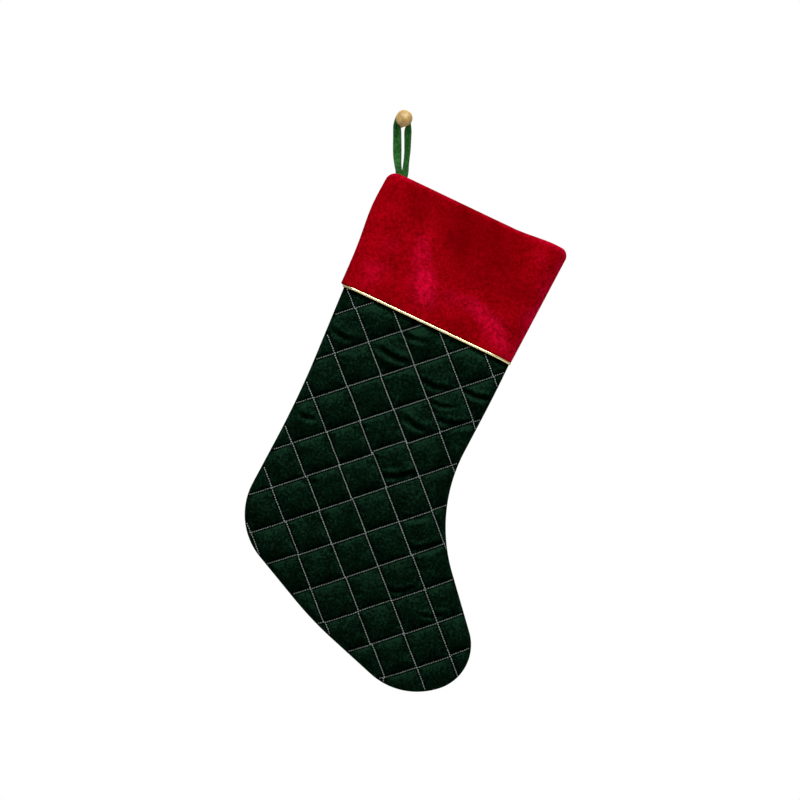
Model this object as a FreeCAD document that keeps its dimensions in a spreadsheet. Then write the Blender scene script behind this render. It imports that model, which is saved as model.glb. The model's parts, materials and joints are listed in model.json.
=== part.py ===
"""A quilted velvet stocking with a turned-down cuff, hanging by its loop from a turned wooden peg.

The frame: X to the right, Y into the wall, Z up. The origin is on the peg's axis, where the peg
enters the wall. The stocking is drawn upright in a frame of its own, whose origin is where the loop
is sewn in, and is then hung at the angle at which its weight comes under the peg. All in millimetres.
"""

import FreeCAD, Part
import math
import os
import re

import Sketcher
from FreeCAD import Placement, Rotation, Vector

OUT = "parts"

DIMENSIONS = {
    # how it hangs
    "seam_from_wall": 20.0,  # the plane of the side seams, in front of the wall
    "hang_drop": 67.0,  # from the peg's axis down to where the loop is sewn in
    "hang_tilt": 25.1,  # degrees
    # outline of the leg and foot: corner points and the rounding at each
    "form_top": 26.0,
    "mouth_back": -15.8,
    "calf_side": -4.0,
    "calf_level": -250.0,
    "calf_round": 1000.0,
    "heel_side": -12.0,
    "heel_level": -399.0,
    "heel_round": 70.0,
    "sole_side": 108.0,
    "sole_level": -457.0,
    "sole_round": 400.0,
    "ball_side": 226.0,
    "ball_level": -494.0,
    "ball_round": 74.0,
    "toe_side": 298.0,
    "toe_level": -436.0,
    "toe_round": 48.0,
    "ankle_side": 176.0,
    "ankle_level": -297.0,
    "ankle_round": 170.0,
    "shin_side": 183.0,
    "shin_level": -159.0,
    "shin_round": 1500.0,
    "mouth_front": 184.8,
    # the leg's thickness and layers
    "mouth_level": 6.0,
    "leg_depth": 30.0,
    "leg_edge": 14.5,
    "velvet_thick": 0.8,
    "batting_thick": 2.0,
    "backing_thick": 0.2,
    "lining_thick": 0.4,
    "layer_gap": 0.1,
    # the cuff
    "cuff_form_top": 30.0,
    "cuff_form_foot": -150.0,
    "cuff_top_back": -18.4,
    "cuff_top_front": 188.4,
    "cuff_foot_back": -15.0,
    "cuff_foot_front": 185.2,
    "cuff_depth": 35.6,
    "cuff_edge": 17.3,
    "cuff_rim_level": 8.0,
    "cuff_rim_thick": 1.8,
    "cuff_hem_level": -122.0,
    "cuff_velvet": 1.2,
    "cuff_gap": 0.5,
    "facing_thick": 0.4,
    # the piping along the cuff's hem
    "piping_radius": 1.35,
    "piping_core": 0.8,
    "piping_bore": 0.85,
    "piping_back": -15.0,
    "piping_front": 185.0,
    "piping_depth": 34.2,
    "flange_thick": 0.2,
    "flange_height": 8.0,
    "flange_bite": 0.7,
    # the quilting
    "quilt_fall_pitch": 37.1,
    "quilt_fall_angle": 46.1,  # degrees, from the leg's length
    "quilt_fall_start": 20.7,
    "quilt_rise_pitch": 37.8,
    "quilt_rise_angle": 46.7,
    "quilt_rise_start": 33.8,
    "thread_wide": 0.8,
    "thread_proud": 0.4,
    # the hanging loop
    "loop_depth": 5.0,
    "loop_top_radius": 9.8,
    "loop_root_radius": 6.0,
    "loop_hole_radius": 4.8,
    "loop_gap": 4.6,
    "loop_gap_foot": -48.5,
    "tail_depth": 3.0,
    "tail_left": -16.0,
    "tail_right": 4.0,
    "tail_top": -3.8,
    "tail_foot": -30.0,
    "root_clearance": 0.5,
    "slot_wide": 5.8,
    "slot_right": -6.0,
    "slot_foot": -2.0,
    "tack_wide": 9.0,
    "tack_tall": 1.1,
    "tack_proud": 0.4,
    "tack_first": -12.0,
    "tack_pitch": 3.6,
    "tack_inset": 1.0,
    # the wooden peg
    "tenon_radius": 4.75,
    "tenon_length": 12.0,
    "tenon_chamfer": 0.6,
    "shoulder_radius": 5.4,
    "shoulder_thick": 2.0,
    "neck_radius": 4.5,
    "neck_start": 6.5,
    "neck_end": 35.0,
    "head_radius": 8.6,
    "head_start": 38.5,
    "head_side_end": 44.5,
    "head_end": 50.0,
}

LEG_CORNERS = [
    ("mouth_back", "form_top", None),
    ("calf_side", "calf_level", "calf_round"),
    ("heel_side", "heel_level", "heel_round"),
    ("sole_side", "sole_level", "sole_round"),
    ("ball_side", "ball_level", "ball_round"),
    ("toe_side", "toe_level", "toe_round"),
    ("ankle_side", "ankle_level", "ankle_round"),
    ("shin_side", "shin_level", "shin_round"),
    ("mouth_front", "form_top", None),
]
CUFF_CORNERS = [
    ("cuff_top_back", "cuff_form_top", None),
    ("cuff_foot_back", "cuff_form_foot", None),
    ("cuff_foot_front", "cuff_form_foot", None),
    ("cuff_top_front", "cuff_form_top", None),
]
FALL_LINES = range(-1, 8)  # quilting lines that run down to the front
RISE_LINES = range(2, 13)  # and those that run down to the back
TACK_BARS = 4
SPACE = 620.0  # larger than the stocking, for the boxes that trim it
SPACE_LEFT = -100.0
SPACE_DEEP = 40.0
TRIM = 1.0  # how far a trimming tool runs past the face that it cuts
LEAST_CUT = 0.1  # a cut that takes less than this share of a solid has missed it

doc = FreeCAD.newDocument("stocking")


# ---------------------------------------------------------------- the sheet and small helpers


def make_sheet():
    """The driving dimensions, one row each: a name and its plain number."""
    sheet = doc.addObject("Spreadsheet::Sheet", "dims")
    for row, (name, value) in enumerate(DIMENSIONS.items(), start=1):
        sheet.set(f"A{row}", name)
        sheet.set(f"B{row}", str(value))
        sheet.setAlias(f"B{row}", name)
    doc.recompute()
    return sheet


sheet = make_sheet()


def size(name):
    return float(sheet.get(name))


def in_sheet(expression):
    """An expression whose <dimension> names are written as cells of the sheet."""
    return re.sub(r"<(\w+)>", r"dims.\1", expression)


def worked_out(expression):
    """The plain value of an expression."""
    return float(sheet.evalExpression(in_sheet(expression)))


def bind(obj, **properties):
    """Binds properties to expressions; a double underscore stands for the dot in a property's name."""
    for prop, expression in properties.items():
        obj.setExpression(prop.replace("__", "."), in_sheet(expression))
    return obj


def hang(obj):
    """Puts a piece of the stocking where it hangs."""
    obj.Placement = Placement(Vector(), Rotation(Vector(0, 1, 0), size("hang_tilt")))
    return bind(
        obj,
        Placement__Base__y="-<seam_from_wall>",
        Placement__Base__z="-<hang_drop>",
        Placement__Rotation__Angle="<hang_tilt>",
    )


def make_body(name):
    body = doc.addObject("PartDesign::Body", name)
    body.Label = name
    return body


def make_sketch(body, name, role):
    sketch = body.newObject("Sketcher::SketchObject", name)
    plane = next(f for f in body.Origin.OriginFeatures if f.Role == role)
    sketch.AttachmentSupport = [(plane, "")]
    sketch.MapMode = "FlatFace"
    return sketch


def fix(sketch, kind, geometry, expression):
    """Adds a dimension to a sketch, bound to an expression."""
    index = sketch.addConstraint(Sketcher.Constraint(kind, *geometry, worked_out(expression)))
    sketch.setExpression(f"Constraints[{index}]", in_sheet(expression))


def pin_point(sketch, geometry, end, across, up):
    """Fixes a point's two coordinates from two named dimensions."""
    fix(sketch, "DistanceX", (-1, 1, geometry, end), f"<{across}>")
    fix(sketch, "DistanceY", (-1, 1, geometry, end), f"<{up}>")


def draw_rounded(sketch, corners):
    """Draws a closed outline of straight sides, each corner rounded by a tangent arc."""
    count = len(corners)
    points = [Vector(size(x), size(y), 0) for x, y, _ in corners]
    into, out, centres = [], [], []
    for i, (_, _, round_name) in enumerate(corners):
        back = (points[i - 1] - points[i]).normalize()
        ahead = (points[(i + 1) % count] - points[i]).normalize()
        half = math.acos(max(-1.0, min(1.0, back.dot(ahead)))) / 2
        radius = size(round_name) if round_name else 0.0
        into.append(points[i] + back * (radius / math.tan(half)))
        out.append(points[i] + ahead * (radius / math.tan(half)))
        middle = (back + ahead).normalize() if radius else Vector()
        centres.append(points[i] + middle * (radius / math.sin(half)))

    sides = [
        sketch.addGeometry(Part.LineSegment(out[i], into[(i + 1) % count]), False)
        for i in range(count)
    ]
    for i, (across, up, round_name) in enumerate(corners):
        before, after = sides[i - 1], sides[i]
        if not round_name:
            sketch.addConstraint(Sketcher.Constraint("Coincident", before, 2, after, 1))
            pin_point(sketch, after, 1, across, up)
            continue
        start, stop = (
            math.atan2((p - centres[i]).y, (p - centres[i]).x) for p in (into[i], out[i])
        )
        turn = (points[i] - points[i - 1]).cross(points[(i + 1) % count] - points[i]).z
        first_end, last_end = (1, 2) if turn > 0 else (2, 1)
        if turn < 0:
            start, stop = stop, start
        if stop < start:
            stop += 2 * math.pi
        circle = Part.Circle(centres[i], Vector(0, 0, 1), size(round_name))
        arc = sketch.addGeometry(Part.ArcOfCircle(circle, start, stop), False)
        corner = sketch.addGeometry(Part.Point(points[i]), True)
        sketch.addConstraint(
            [
                Sketcher.Constraint("Tangent", before, 2, arc, first_end),
                Sketcher.Constraint("Tangent", arc, last_end, after, 1),
                Sketcher.Constraint("PointOnObject", corner, 1, before),
                Sketcher.Constraint("PointOnObject", corner, 1, after),
            ]
        )
        fix(sketch, "Radius", (arc,), f"<{round_name}>")
        pin_point(sketch, corner, 1, across, up)


def rim_edges(shape, half_depth, wanted=lambda edge: True):
    """The names of the edges round a flat slab's front and back faces."""
    return [
        f"Edge{i + 1}"
        for i, edge in enumerate(shape.Edges)
        if edge.BoundBox.YLength < 1e-6
        and abs(abs(edge.BoundBox.YMin) - half_depth) < 1e-6
        and wanted(edge)
    ]


def slab(name, corners, depth, edge_radius, wanted=lambda edge: True):
    """A slab of a rounded outline, as deep as the stocking, with its rims rounded over."""
    body = make_body(name)
    sketch = make_sketch(body, name + "_outline", "XZ_Plane")
    draw_rounded(sketch, corners)
    pad = body.newObject("PartDesign::Pad", name + "_pad")
    pad.Profile = sketch
    pad.SideType = "Symmetric"
    bind(pad, Length=f"<{depth}>")
    doc.recompute()
    fillet = body.newObject("PartDesign::Fillet", name + "_edges")
    fillet.Base = (pad, rim_edges(pad.Shape, size(depth) / 2, wanted))
    bind(fillet, Radius=f"<{edge_radius}>")
    body.Tip = fillet
    doc.recompute()
    return body


def inside(source, name, depth):
    """The same form, shrunk by a depth all over (or grown, where the depth is negative)."""
    offset = doc.addObject("Part::Offset", name)
    offset.Source = source
    offset.Join = 0
    return bind(offset, Value=f"-({depth})")


def cut(name, base, tool):
    result = doc.addObject("Part::Cut", name)
    result.Base, result.Tool = base, tool
    return result


def common(name, base, tool):
    result = doc.addObject("Part::Common", name)
    result.Base, result.Tool = base, tool
    return result


def fuse(name, shapes):
    result = doc.addObject("Part::MultiFuse", name)
    result.Shapes = shapes
    return result


def space(name, front, top, foot):
    """A large box on one side of the seam plane, between two levels."""
    box = doc.addObject("Part::Box", name)
    box.Placement = Placement(Vector(SPACE_LEFT, 0, 0), Rotation())
    return bind(
        box,
        Length=str(SPACE),
        Width=str(SPACE_DEEP),
        Height=f"({top}) - ({foot})",
        Placement__Base__y=str(-SPACE_DEEP if front else 0.0),
        Placement__Base__z=foot,
    )


def block(name, left, right, top, foot, depth):
    """A plain box across the seam plane, its sides given as expressions."""
    box = doc.addObject("Part::Box", name)
    return bind(
        box,
        Length=f"({right}) - ({left})",
        Width=depth,
        Height=f"({top}) - ({foot})",
        Placement__Base__x=left,
        Placement__Base__y=f"-({depth}) / 2",
        Placement__Base__z=foot,
    )


def make_slot():
    """The top of the heel side's seam, left open so that the strap can lean that way."""
    left = "<cuff_top_back> - <slot_wide>"
    return block("strap_slot", left, "<slot_right>", "<form_top>", "<slot_foot>", "<slot_wide>")


# ---------------------------------------------------------------- the leg and foot


def make_leg():
    """Velvet, batting, its backing and the lining: front and back shells that meet at the seams."""
    form = slab("leg_form", LEG_CORNERS, "leg_depth", "leg_edge")
    depth = "0"
    outer = form
    for layer in ("velvet", "batting", "backing", "lining"):
        if layer != "velvet":
            depth += " + <layer_gap>"
            outer = inside(form, f"{layer}_outer", depth)
        depth += f" + <{layer}_thick>"
        inner = inside(form, f"{layer}_inner", depth)
        shell = cut(f"{layer}_shell", outer, inner)
        for side in ("front", "back"):
            name = f"lining_{side}" if layer == "lining" else f"leg_{side}_{layer}"
            half = space(f"{name}_side", side == "front", "<mouth_level>", str(-SPACE))
            room = cut(f"{name}_room", half, strap_slot)
            sub_parts.append(hang(common(name, shell, room)))
    return form, inner


def make_quilting(form):
    """Lines of metallic thread in diamonds, proud of the velvet below the cuff, front and back."""
    proud = inside(form, "thread_outer", "-<thread_proud>")
    skin = cut("thread_skin", proud, form)
    lines = []
    for family, numbers, way in (("fall", FALL_LINES, 1), ("rise", RISE_LINES, -1)):
        angle = f"<quilt_{family}_angle>"
        for number in numbers:
            line = doc.addObject("Part::Box", f"quilt_{family}_{number - numbers[0]}")
            turned = Rotation(Vector(0, 1, 0), way * (90 - worked_out(angle)))
            line.Placement = Placement(Vector(), turned)
            reach = f"(<quilt_{family}_start> + {number} * <quilt_{family}_pitch> + <thread_wide> / 2)"
            bind(
                line,
                Length=str(2 * SPACE),
                Width=str(2 * SPACE_DEEP),
                Height="<thread_wide>",
                Placement__Base__x=f"-{SPACE} * sin({angle}) - {way} * {reach} * cos({angle})",
                Placement__Base__y=str(-SPACE_DEEP),
                Placement__Base__z=f"{way} * {SPACE} * cos({angle}) - {reach} * sin({angle})",
                Placement__Rotation__Angle=f"{way} * (90 - {angle})",
            )
            lines.append(line)
    grid = fuse("quilt_grid", lines)
    threads = common("quilt_threads", skin, grid)
    for side in ("front", "back"):
        name = f"quilting_thread_{side}"
        half = space(f"{name}_side", side == "front", f"<cuff_hem_level> - {TRIM}", str(-SPACE))
        sub_parts.append(hang(common(name, threads, half)))


# ---------------------------------------------------------------- the cuff


def is_side(edge):
    """True for the upright edges of the cuff's form."""
    return edge.BoundBox.ZLength > edge.BoundBox.XLength


def make_cuff(cavity):
    """Outer velvet, turned over the mouth's rim, and a facing behind it."""
    form = slab("cuff_form", CUFF_CORNERS, "cuff_depth", "cuff_edge", is_side)
    velvet_inner = inside(form, "cuff_velvet_inner", "<cuff_velvet>")
    facing_outer = inside(form, "facing_outer", "<cuff_velvet> + <cuff_gap>")
    facing_inner = inside(form, "facing_inner", "<cuff_velvet> + <cuff_gap> + <facing_thick>")
    under_rim = "<cuff_rim_level> - <cuff_rim_thick>"
    hollowing = fuse("cuff_hollowing", [cavity, strap_slot])
    for side in ("front", "back"):
        front = side == "front"
        band = space(f"cuff_{side}_band", front, "<cuff_rim_level>", "<cuff_hem_level>")
        room = space(f"cuff_{side}_room", front, under_rim, f"<cuff_hem_level> - {TRIM}")
        blank = common(f"cuff_{side}_blank", form, band)
        hollow = common(f"cuff_{side}_hollow", velvet_inner, room)
        sleeve = cut(f"cuff_{side}_sleeve", blank, hollow)
        sub_parts.append(hang(cut(f"cuff_{side}", sleeve, hollowing)))

        shell = cut(f"facing_{side}_shell", facing_outer, facing_inner)
        level = space(f"facing_{side}_band", front, under_rim + " - <layer_gap>", "<cuff_hem_level>")
        room = cut(f"facing_{side}_room", level, strap_slot)
        sub_parts.append(hang(common(f"cuff_facing_{side}", shell, room)))
    return form


def draw_slot(sketch):
    """A long slot, round at both ends: the piping's path as seen from above."""
    back, front = size("piping_back"), size("piping_front")
    half = size("piping_depth") / 2
    left, right = Vector(back + half, 0, 0), Vector(front - half, 0, 0)
    up = Vector(0, half, 0)
    near = sketch.addGeometry(Part.LineSegment(left - up, right - up), False)
    far = sketch.addGeometry(Part.LineSegment(right + up, left + up), False)
    ends = []
    for centre, start in ((right, -math.pi / 2), (left, math.pi / 2)):
        circle = Part.Circle(centre, Vector(0, 0, 1), half)
        ends.append(sketch.addGeometry(Part.ArcOfCircle(circle, start, start + math.pi), False))
    sketch.addConstraint(
        [
            Sketcher.Constraint("Tangent", near, 2, ends[0], 1),
            Sketcher.Constraint("Tangent", ends[0], 2, far, 1),
            Sketcher.Constraint("Tangent", far, 2, ends[1], 1),
            Sketcher.Constraint("Tangent", ends[1], 2, near, 1),
            Sketcher.Constraint("Horizontal", near),
            Sketcher.Constraint("PointOnObject", ends[0], 3, -1),
        ]
    )
    fix(sketch, "Radius", (ends[0],), "<piping_depth> / 2")
    fix(sketch, "DistanceX", (-1, 1, ends[1], 3), "<piping_back> + <piping_depth> / 2")
    fix(sketch, "DistanceX", (-1, 1, ends[0], 3), "<piping_front> - <piping_depth> / 2")


def pipe(name, radius):
    """A round cord along the cuff's hem."""
    body = make_body(name)
    path = make_sketch(body, name + "_path", "XY_Plane")
    bind(path, AttachmentOffset__Base__z="<cuff_hem_level> - <piping_radius>")
    draw_slot(path)
    profile = make_sketch(body, name + "_section", "YZ_Plane")
    bind(profile, AttachmentOffset__Base__z="<piping_front> / 2")
    out, level = "-<piping_depth> / 2", "<cuff_hem_level> - <piping_radius>"
    centre = Vector(worked_out(out), worked_out(level), 0)
    ring = profile.addGeometry(Part.Circle(centre, Vector(0, 0, 1), size(radius)), False)
    fix(profile, "Radius", (ring,), f"<{radius}>")
    fix(profile, "DistanceX", (-1, 1, ring, 3), out)
    fix(profile, "DistanceY", (-1, 1, ring, 3), level)
    doc.recompute()
    swept = body.newObject("PartDesign::AdditivePipe", name + "_sweep")
    swept.Profile = profile
    swept.Spine = (path, [])
    body.Tip = swept
    doc.recompute()
    return body


def make_piping(cuff_form):
    """Piping round the hem: a cord core in a foil cover whose flange is caught in the hem's seam."""
    sub_parts.append(hang(pipe("piping_core", "piping_core")))
    outside, bore = pipe("piping_outside", "piping_radius"), pipe("piping_inside", "piping_bore")
    tube = cut("piping_tube", outside, bore)
    gap = "<cuff_velvet> + (<cuff_gap> - <flange_thick>) / 2"
    outer = inside(cuff_form, "flange_outer", gap)
    inner = inside(cuff_form, "flange_inner", gap + " + <flange_thick>")
    shell = cut("flange_shell", outer, inner)
    lower = "<cuff_hem_level> - <flange_bite>"
    bands = [
        space(f"flange_{name}_band", front, "<cuff_hem_level> + <flange_height>", lower)
        for name, front in (("front", True), ("back", False))
    ]
    flange = common("piping_flange", shell, fuse("flange_bands", bands))
    sub_parts.append(hang(fuse("piping_cover", [tube, flange])))


# ---------------------------------------------------------------- the hanging loop


def draw_belt(sketch):
    """The loop's outside: round over the peg, round at its root, straight between."""
    top, root = size("loop_top_radius"), size("loop_root_radius")
    drop = size("hang_drop")
    lean = math.asin((top - root) / drop)
    foot = Vector(0, -drop, 0)
    side = Vector(math.cos(lean), -math.sin(lean), 0)
    mirror = Vector(-side.x, side.y, 0)
    top_circle = Part.Circle(Vector(), Vector(0, 0, 1), top)
    root_circle = Part.Circle(foot, Vector(0, 0, 1), root)
    over = Part.ArcOfCircle(top_circle, -lean, math.pi + lean)
    under = Part.ArcOfCircle(root_circle, math.pi + lean, 2 * math.pi - lean)
    upper = sketch.addGeometry(over, False)
    left = sketch.addGeometry(Part.LineSegment(mirror * top, foot + mirror * root), False)
    lower = sketch.addGeometry(under, False)
    right = sketch.addGeometry(Part.LineSegment(foot + side * root, side * top), False)
    sketch.addConstraint(
        [
            Sketcher.Constraint("Tangent", upper, 2, left, 1),
            Sketcher.Constraint("Tangent", left, 2, lower, 1),
            Sketcher.Constraint("Tangent", lower, 2, right, 1),
            Sketcher.Constraint("Tangent", right, 2, upper, 1),
            Sketcher.Constraint("Coincident", upper, 3, -1, 1),
            Sketcher.Constraint("PointOnObject", lower, 3, -2),
        ]
    )
    fix(sketch, "Radius", (upper,), "<loop_top_radius>")
    fix(sketch, "Radius", (lower,), "<loop_root_radius>")
    fix(sketch, "DistanceY", (-1, 1, lower, 3), "-<hang_drop>")


def draw_keyhole(sketch):
    """The loop's inside: a round hole for the peg's neck over a long narrow gap."""
    hole, half = size("loop_hole_radius"), size("loop_gap") / 2
    foot = size("loop_gap_foot")
    meet = -math.sqrt(hole**2 - half**2)
    start = math.atan2(meet, half)
    circle = Part.Circle(Vector(), Vector(0, 0, 1), hole)
    round_foot = Part.Circle(Vector(0, foot, 0), Vector(0, 0, 1), half)
    left_side = Part.LineSegment(Vector(-half, meet, 0), Vector(-half, foot, 0))
    right_side = Part.LineSegment(Vector(half, foot, 0), Vector(half, meet, 0))
    upper = sketch.addGeometry(Part.ArcOfCircle(circle, start, math.pi - start), False)
    left = sketch.addGeometry(left_side, False)
    lower = sketch.addGeometry(Part.ArcOfCircle(round_foot, math.pi, 2 * math.pi), False)
    right = sketch.addGeometry(right_side, False)
    sketch.addConstraint(
        [
            Sketcher.Constraint("Coincident", upper, 2, left, 1),
            Sketcher.Constraint("Tangent", left, 2, lower, 1),
            Sketcher.Constraint("Tangent", lower, 2, right, 1),
            Sketcher.Constraint("Coincident", right, 2, upper, 1),
            Sketcher.Constraint("Vertical", left),
            Sketcher.Constraint("Coincident", upper, 3, -1, 1),
            Sketcher.Constraint("PointOnObject", lower, 3, -2),
        ]
    )
    fix(sketch, "Radius", (upper,), "<loop_hole_radius>")
    fix(sketch, "Radius", (lower,), "<loop_gap> / 2")
    fix(sketch, "DistanceY", (-1, 1, lower, 3), "<loop_gap_foot>")


def make_loop():
    """A strap folded over the peg's neck, its two ends brought together at its root."""
    body = make_body("hanging_loop")
    belt = make_sketch(body, "loop_belt", "XZ_Plane")
    draw_belt(belt)
    pad = body.newObject("PartDesign::Pad", "loop_pad")
    pad.Profile = belt
    pad.SideType = "Symmetric"
    bind(pad, Length="<loop_depth>")
    keyhole = make_sketch(body, "loop_keyhole", "XZ_Plane")
    draw_keyhole(keyhole)
    doc.recompute()
    solid = pad.Shape.Volume
    pocket = body.newObject("PartDesign::Pocket", "loop_pocket")
    pocket.Profile = keyhole
    pocket.SideType = "Symmetric"
    pocket.Type = "ThroughAll"
    body.Tip = pocket
    bind(body, Placement__Base__y="-<seam_from_wall>")
    doc.recompute()
    assert pocket.Shape.Volume < (1 - LEAST_CUT) * solid, "the loop's hole wasn't cut"
    sub_parts.append(body)


def make_tail(cavity):
    """The strap's sewn-in end, laid on the side seam inside the mouth, and the stitches over it."""
    sides = ("<tail_left>", "<tail_right>", "<tail_top>", "<tail_foot>")
    strip = block("tail_strip", *sides, "<tail_depth>")
    seated = common("tail_seated", strip, cavity)
    socket = doc.addObject("Part::Cylinder", "tail_socket")
    socket.Placement = Placement(Vector(), Rotation(Vector(1, 0, 0), 90))
    bind(
        socket,
        Radius="<loop_root_radius> + <root_clearance>",
        Height="2 * <loop_depth>",
        Placement__Base__y="<loop_depth>",
    )
    sub_parts.append(hang(cut("loop_tail", seated, socket)))

    bars = []
    for number in range(TACK_BARS):
        top = f"<tack_first> - {number} * <tack_pitch>"
        right = "<tail_right> - <tack_inset>"
        left = f"{right} - <tack_wide>"
        depth = "<tail_depth> + 2 * <tack_proud>"
        bars.append(block(f"tack_{number}", left, right, top, f"{top} - <tack_tall>", depth))
    stack = fuse("tack_bars", bars)
    sub_parts.append(hang(cut("loop_bar_tack", stack, strip)))


# ---------------------------------------------------------------- the wooden peg


def make_peg():
    """A turned peg: a tenon for the wall, a shoulder, a waisted neck and a domed head."""
    body = make_body("wooden_peg")
    sketch = make_sketch(body, "peg_profile", "XY_Plane")
    stations = [  # radius and distance in front of the wall, as expressions
        ("0", "-<tenon_length>"),
        ("<tenon_radius> - <tenon_chamfer>", "-<tenon_length>"),
        ("<tenon_radius>", "-<tenon_length> + <tenon_chamfer>"),
        ("<tenon_radius>", "0"),
        ("<shoulder_radius>", "0"),
        ("<shoulder_radius>", "<shoulder_thick>"),
        ("<neck_radius>", "<neck_start>"),
        ("<neck_radius>", "<neck_end>"),
        ("<head_radius>", "<head_start>"),
        ("<head_radius>", "<head_side_end>"),
        ("0", "<head_end>"),
    ]

    places = [Vector(worked_out(radius), -worked_out(out), 0) for radius, out in stations]
    lines = [
        sketch.addGeometry(Part.LineSegment(places[i], places[i + 1]), False)
        for i in range(len(places) - 2)
    ]
    # the domed face is an arc from the head's side to the axis, square to the axis there
    side, crown = places[-2], places[-1]
    rise = side.y - crown.y
    radius = (side.x**2 + rise**2) / (2 * rise)
    centre = Vector(0, crown.y + radius, 0)
    start = math.atan2(crown.y - centre.y, 0.0)
    stop = math.atan2(side.y - centre.y, side.x)
    face = Part.Circle(centre, Vector(0, 0, 1), radius)
    dome = sketch.addGeometry(Part.ArcOfCircle(face, start, stop), False)
    axis = sketch.addGeometry(Part.LineSegment(crown, places[0]), False)
    for before, after in zip(lines, lines[1:]):
        sketch.addConstraint(Sketcher.Constraint("Coincident", before, 2, after, 1))
    sketch.addConstraint(
        [
            Sketcher.Constraint("Coincident", lines[-1], 2, dome, 2),
            Sketcher.Constraint("Coincident", dome, 1, axis, 1),
            Sketcher.Constraint("Coincident", axis, 2, lines[0], 1),
            Sketcher.Constraint("PointOnObject", dome, 3, -2),
        ]
    )
    starts = [(line, 1) for line in lines] + [(lines[-1], 2)]
    for (geometry, end), (across, out) in zip(starts, stations):
        if across == "0":
            sketch.addConstraint(Sketcher.Constraint("PointOnObject", geometry, end, -2))
        else:
            fix(sketch, "DistanceX", (-1, 1, geometry, end), across)
        if out == "0":
            sketch.addConstraint(Sketcher.Constraint("PointOnObject", geometry, end, -1))
        else:
            fix(sketch, "DistanceY", (-1, 1, geometry, end), f"-({out})")
    sketch.addConstraint(Sketcher.Constraint("PointOnObject", dome, 1, -2))
    fix(sketch, "DistanceY", (-1, 1, dome, 1), "-<head_end>")
    doc.recompute()
    turned = body.newObject("PartDesign::Revolution", "peg_turned")
    turned.Profile = sketch
    turned.ReferenceAxis = (sketch, ["V_Axis"])
    turned.Angle = 360
    body.Tip = turned
    doc.recompute()
    sub_parts.append(body)


# ---------------------------------------------------------------- checks and files


def check_document():
    """Stops if any object failed, or a sub-part has no valid solid."""
    failed = [o.Name for o in doc.Objects if {"Invalid", "Error"} & set(o.State)]
    assert not failed, f"these objects failed: {failed}"
    for part in sub_parts:
        shape = part.Shape
        valid = not shape.isNull() and shape.isValid() and shape.Solids
        assert valid, f"{part.Label} has no valid solid"
        assert shape.Volume > 0, f"{part.Label} has no volume"


def report_hanging():
    """Prints where the stocking's weight comes, and the tilt at which it would hang."""
    still = ("wooden_peg", "hanging_loop")
    pieces = [p.Shape for p in sub_parts if p.Label not in still]
    volume = sum(s.Volume for s in pieces)
    centre = sum((s.CenterOfGravity * s.Volume for s in pieces), Vector()) * (1 / volume)
    depth = -size("hang_drop") - centre.z
    lean = math.degrees(math.atan2(centre.x, depth))
    print(f"stocking {volume / 1000:.1f} cm3, weight at {centre.x:.2f}, {centre.z:.2f}")
    print(f"it would hang at a tilt of {size('hang_tilt') + lean:.2f} degrees")


sub_parts = []
strap_slot = make_slot()
leg_form, cavity = make_leg()
make_quilting(leg_form)
cuff_form = make_cuff(cavity)
make_piping(cuff_form)
make_loop()
make_tail(cavity)
make_peg()
doc.recompute()
check_document()
os.makedirs(OUT, exist_ok=True)
for part in sub_parts:
    part.Shape.exportStep(os.path.join(OUT, part.Label + ".step"))
    box = part.Shape.BoundBox
    print(f"{part.Label}: {len(part.Shape.Solids)} solids, {part.Shape.Volume:.0f} mm3,"
          f" {box.XLength:.1f} x {box.YLength:.1f} x {box.ZLength:.1f}")
report_hanging()
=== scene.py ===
import json
import math

import bpy
import numpy as np
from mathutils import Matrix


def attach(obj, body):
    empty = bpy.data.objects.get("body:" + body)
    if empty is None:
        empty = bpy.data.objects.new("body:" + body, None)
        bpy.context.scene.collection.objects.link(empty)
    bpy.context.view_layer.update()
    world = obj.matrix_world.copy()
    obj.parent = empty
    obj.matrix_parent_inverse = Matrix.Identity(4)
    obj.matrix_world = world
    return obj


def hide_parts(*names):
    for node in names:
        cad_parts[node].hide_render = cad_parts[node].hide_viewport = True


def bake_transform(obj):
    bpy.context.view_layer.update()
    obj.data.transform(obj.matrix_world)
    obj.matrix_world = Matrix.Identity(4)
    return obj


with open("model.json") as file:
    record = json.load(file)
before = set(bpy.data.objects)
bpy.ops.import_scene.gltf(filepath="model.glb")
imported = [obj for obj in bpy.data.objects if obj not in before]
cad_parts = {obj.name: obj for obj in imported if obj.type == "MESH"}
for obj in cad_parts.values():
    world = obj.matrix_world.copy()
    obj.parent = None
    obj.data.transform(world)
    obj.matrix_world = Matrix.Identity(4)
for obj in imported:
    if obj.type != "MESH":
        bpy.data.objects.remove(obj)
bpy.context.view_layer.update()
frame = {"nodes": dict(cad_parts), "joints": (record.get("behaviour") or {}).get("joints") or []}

# x runs across the stocking from its heel side, z up from the loop's seam, y back from the seam plane, in mm
hanging = {
    "tilt": 25.1,  # degrees that the cuff's rim falls towards the toe side
}
mm = 0.001
joints = {joint["name"]: joint for joint in frame["joints"]}
loopSeam = np.array(joints["stocking_tilt"]["pos_m"])


def hang(x, y, z):
    # turns flat coordinates by the hanging tilt about the loop's seam: X = cx + sz, Z = cz - sx, in metres
    c, s = math.cos(math.radians(hanging["tilt"])), math.sin(math.radians(hanging["tilt"]))
    x, y, z = np.broadcast_arrays(x, y, z)
    return np.stack([c * x + s * z, y, c * z - s * x], axis=-1) * mm + loopSeam


outwards = {"front": -1, "back": 1}


def ease(value):
    # 0 below 0, 1 above 1, and a smooth cubic step between
    t = np.clip(value, 0.0, 1.0)
    return t * t * (3 - 2 * t)


def bump(value):
    # a bell: e to the minus square
    return np.exp(-value * value)


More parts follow.
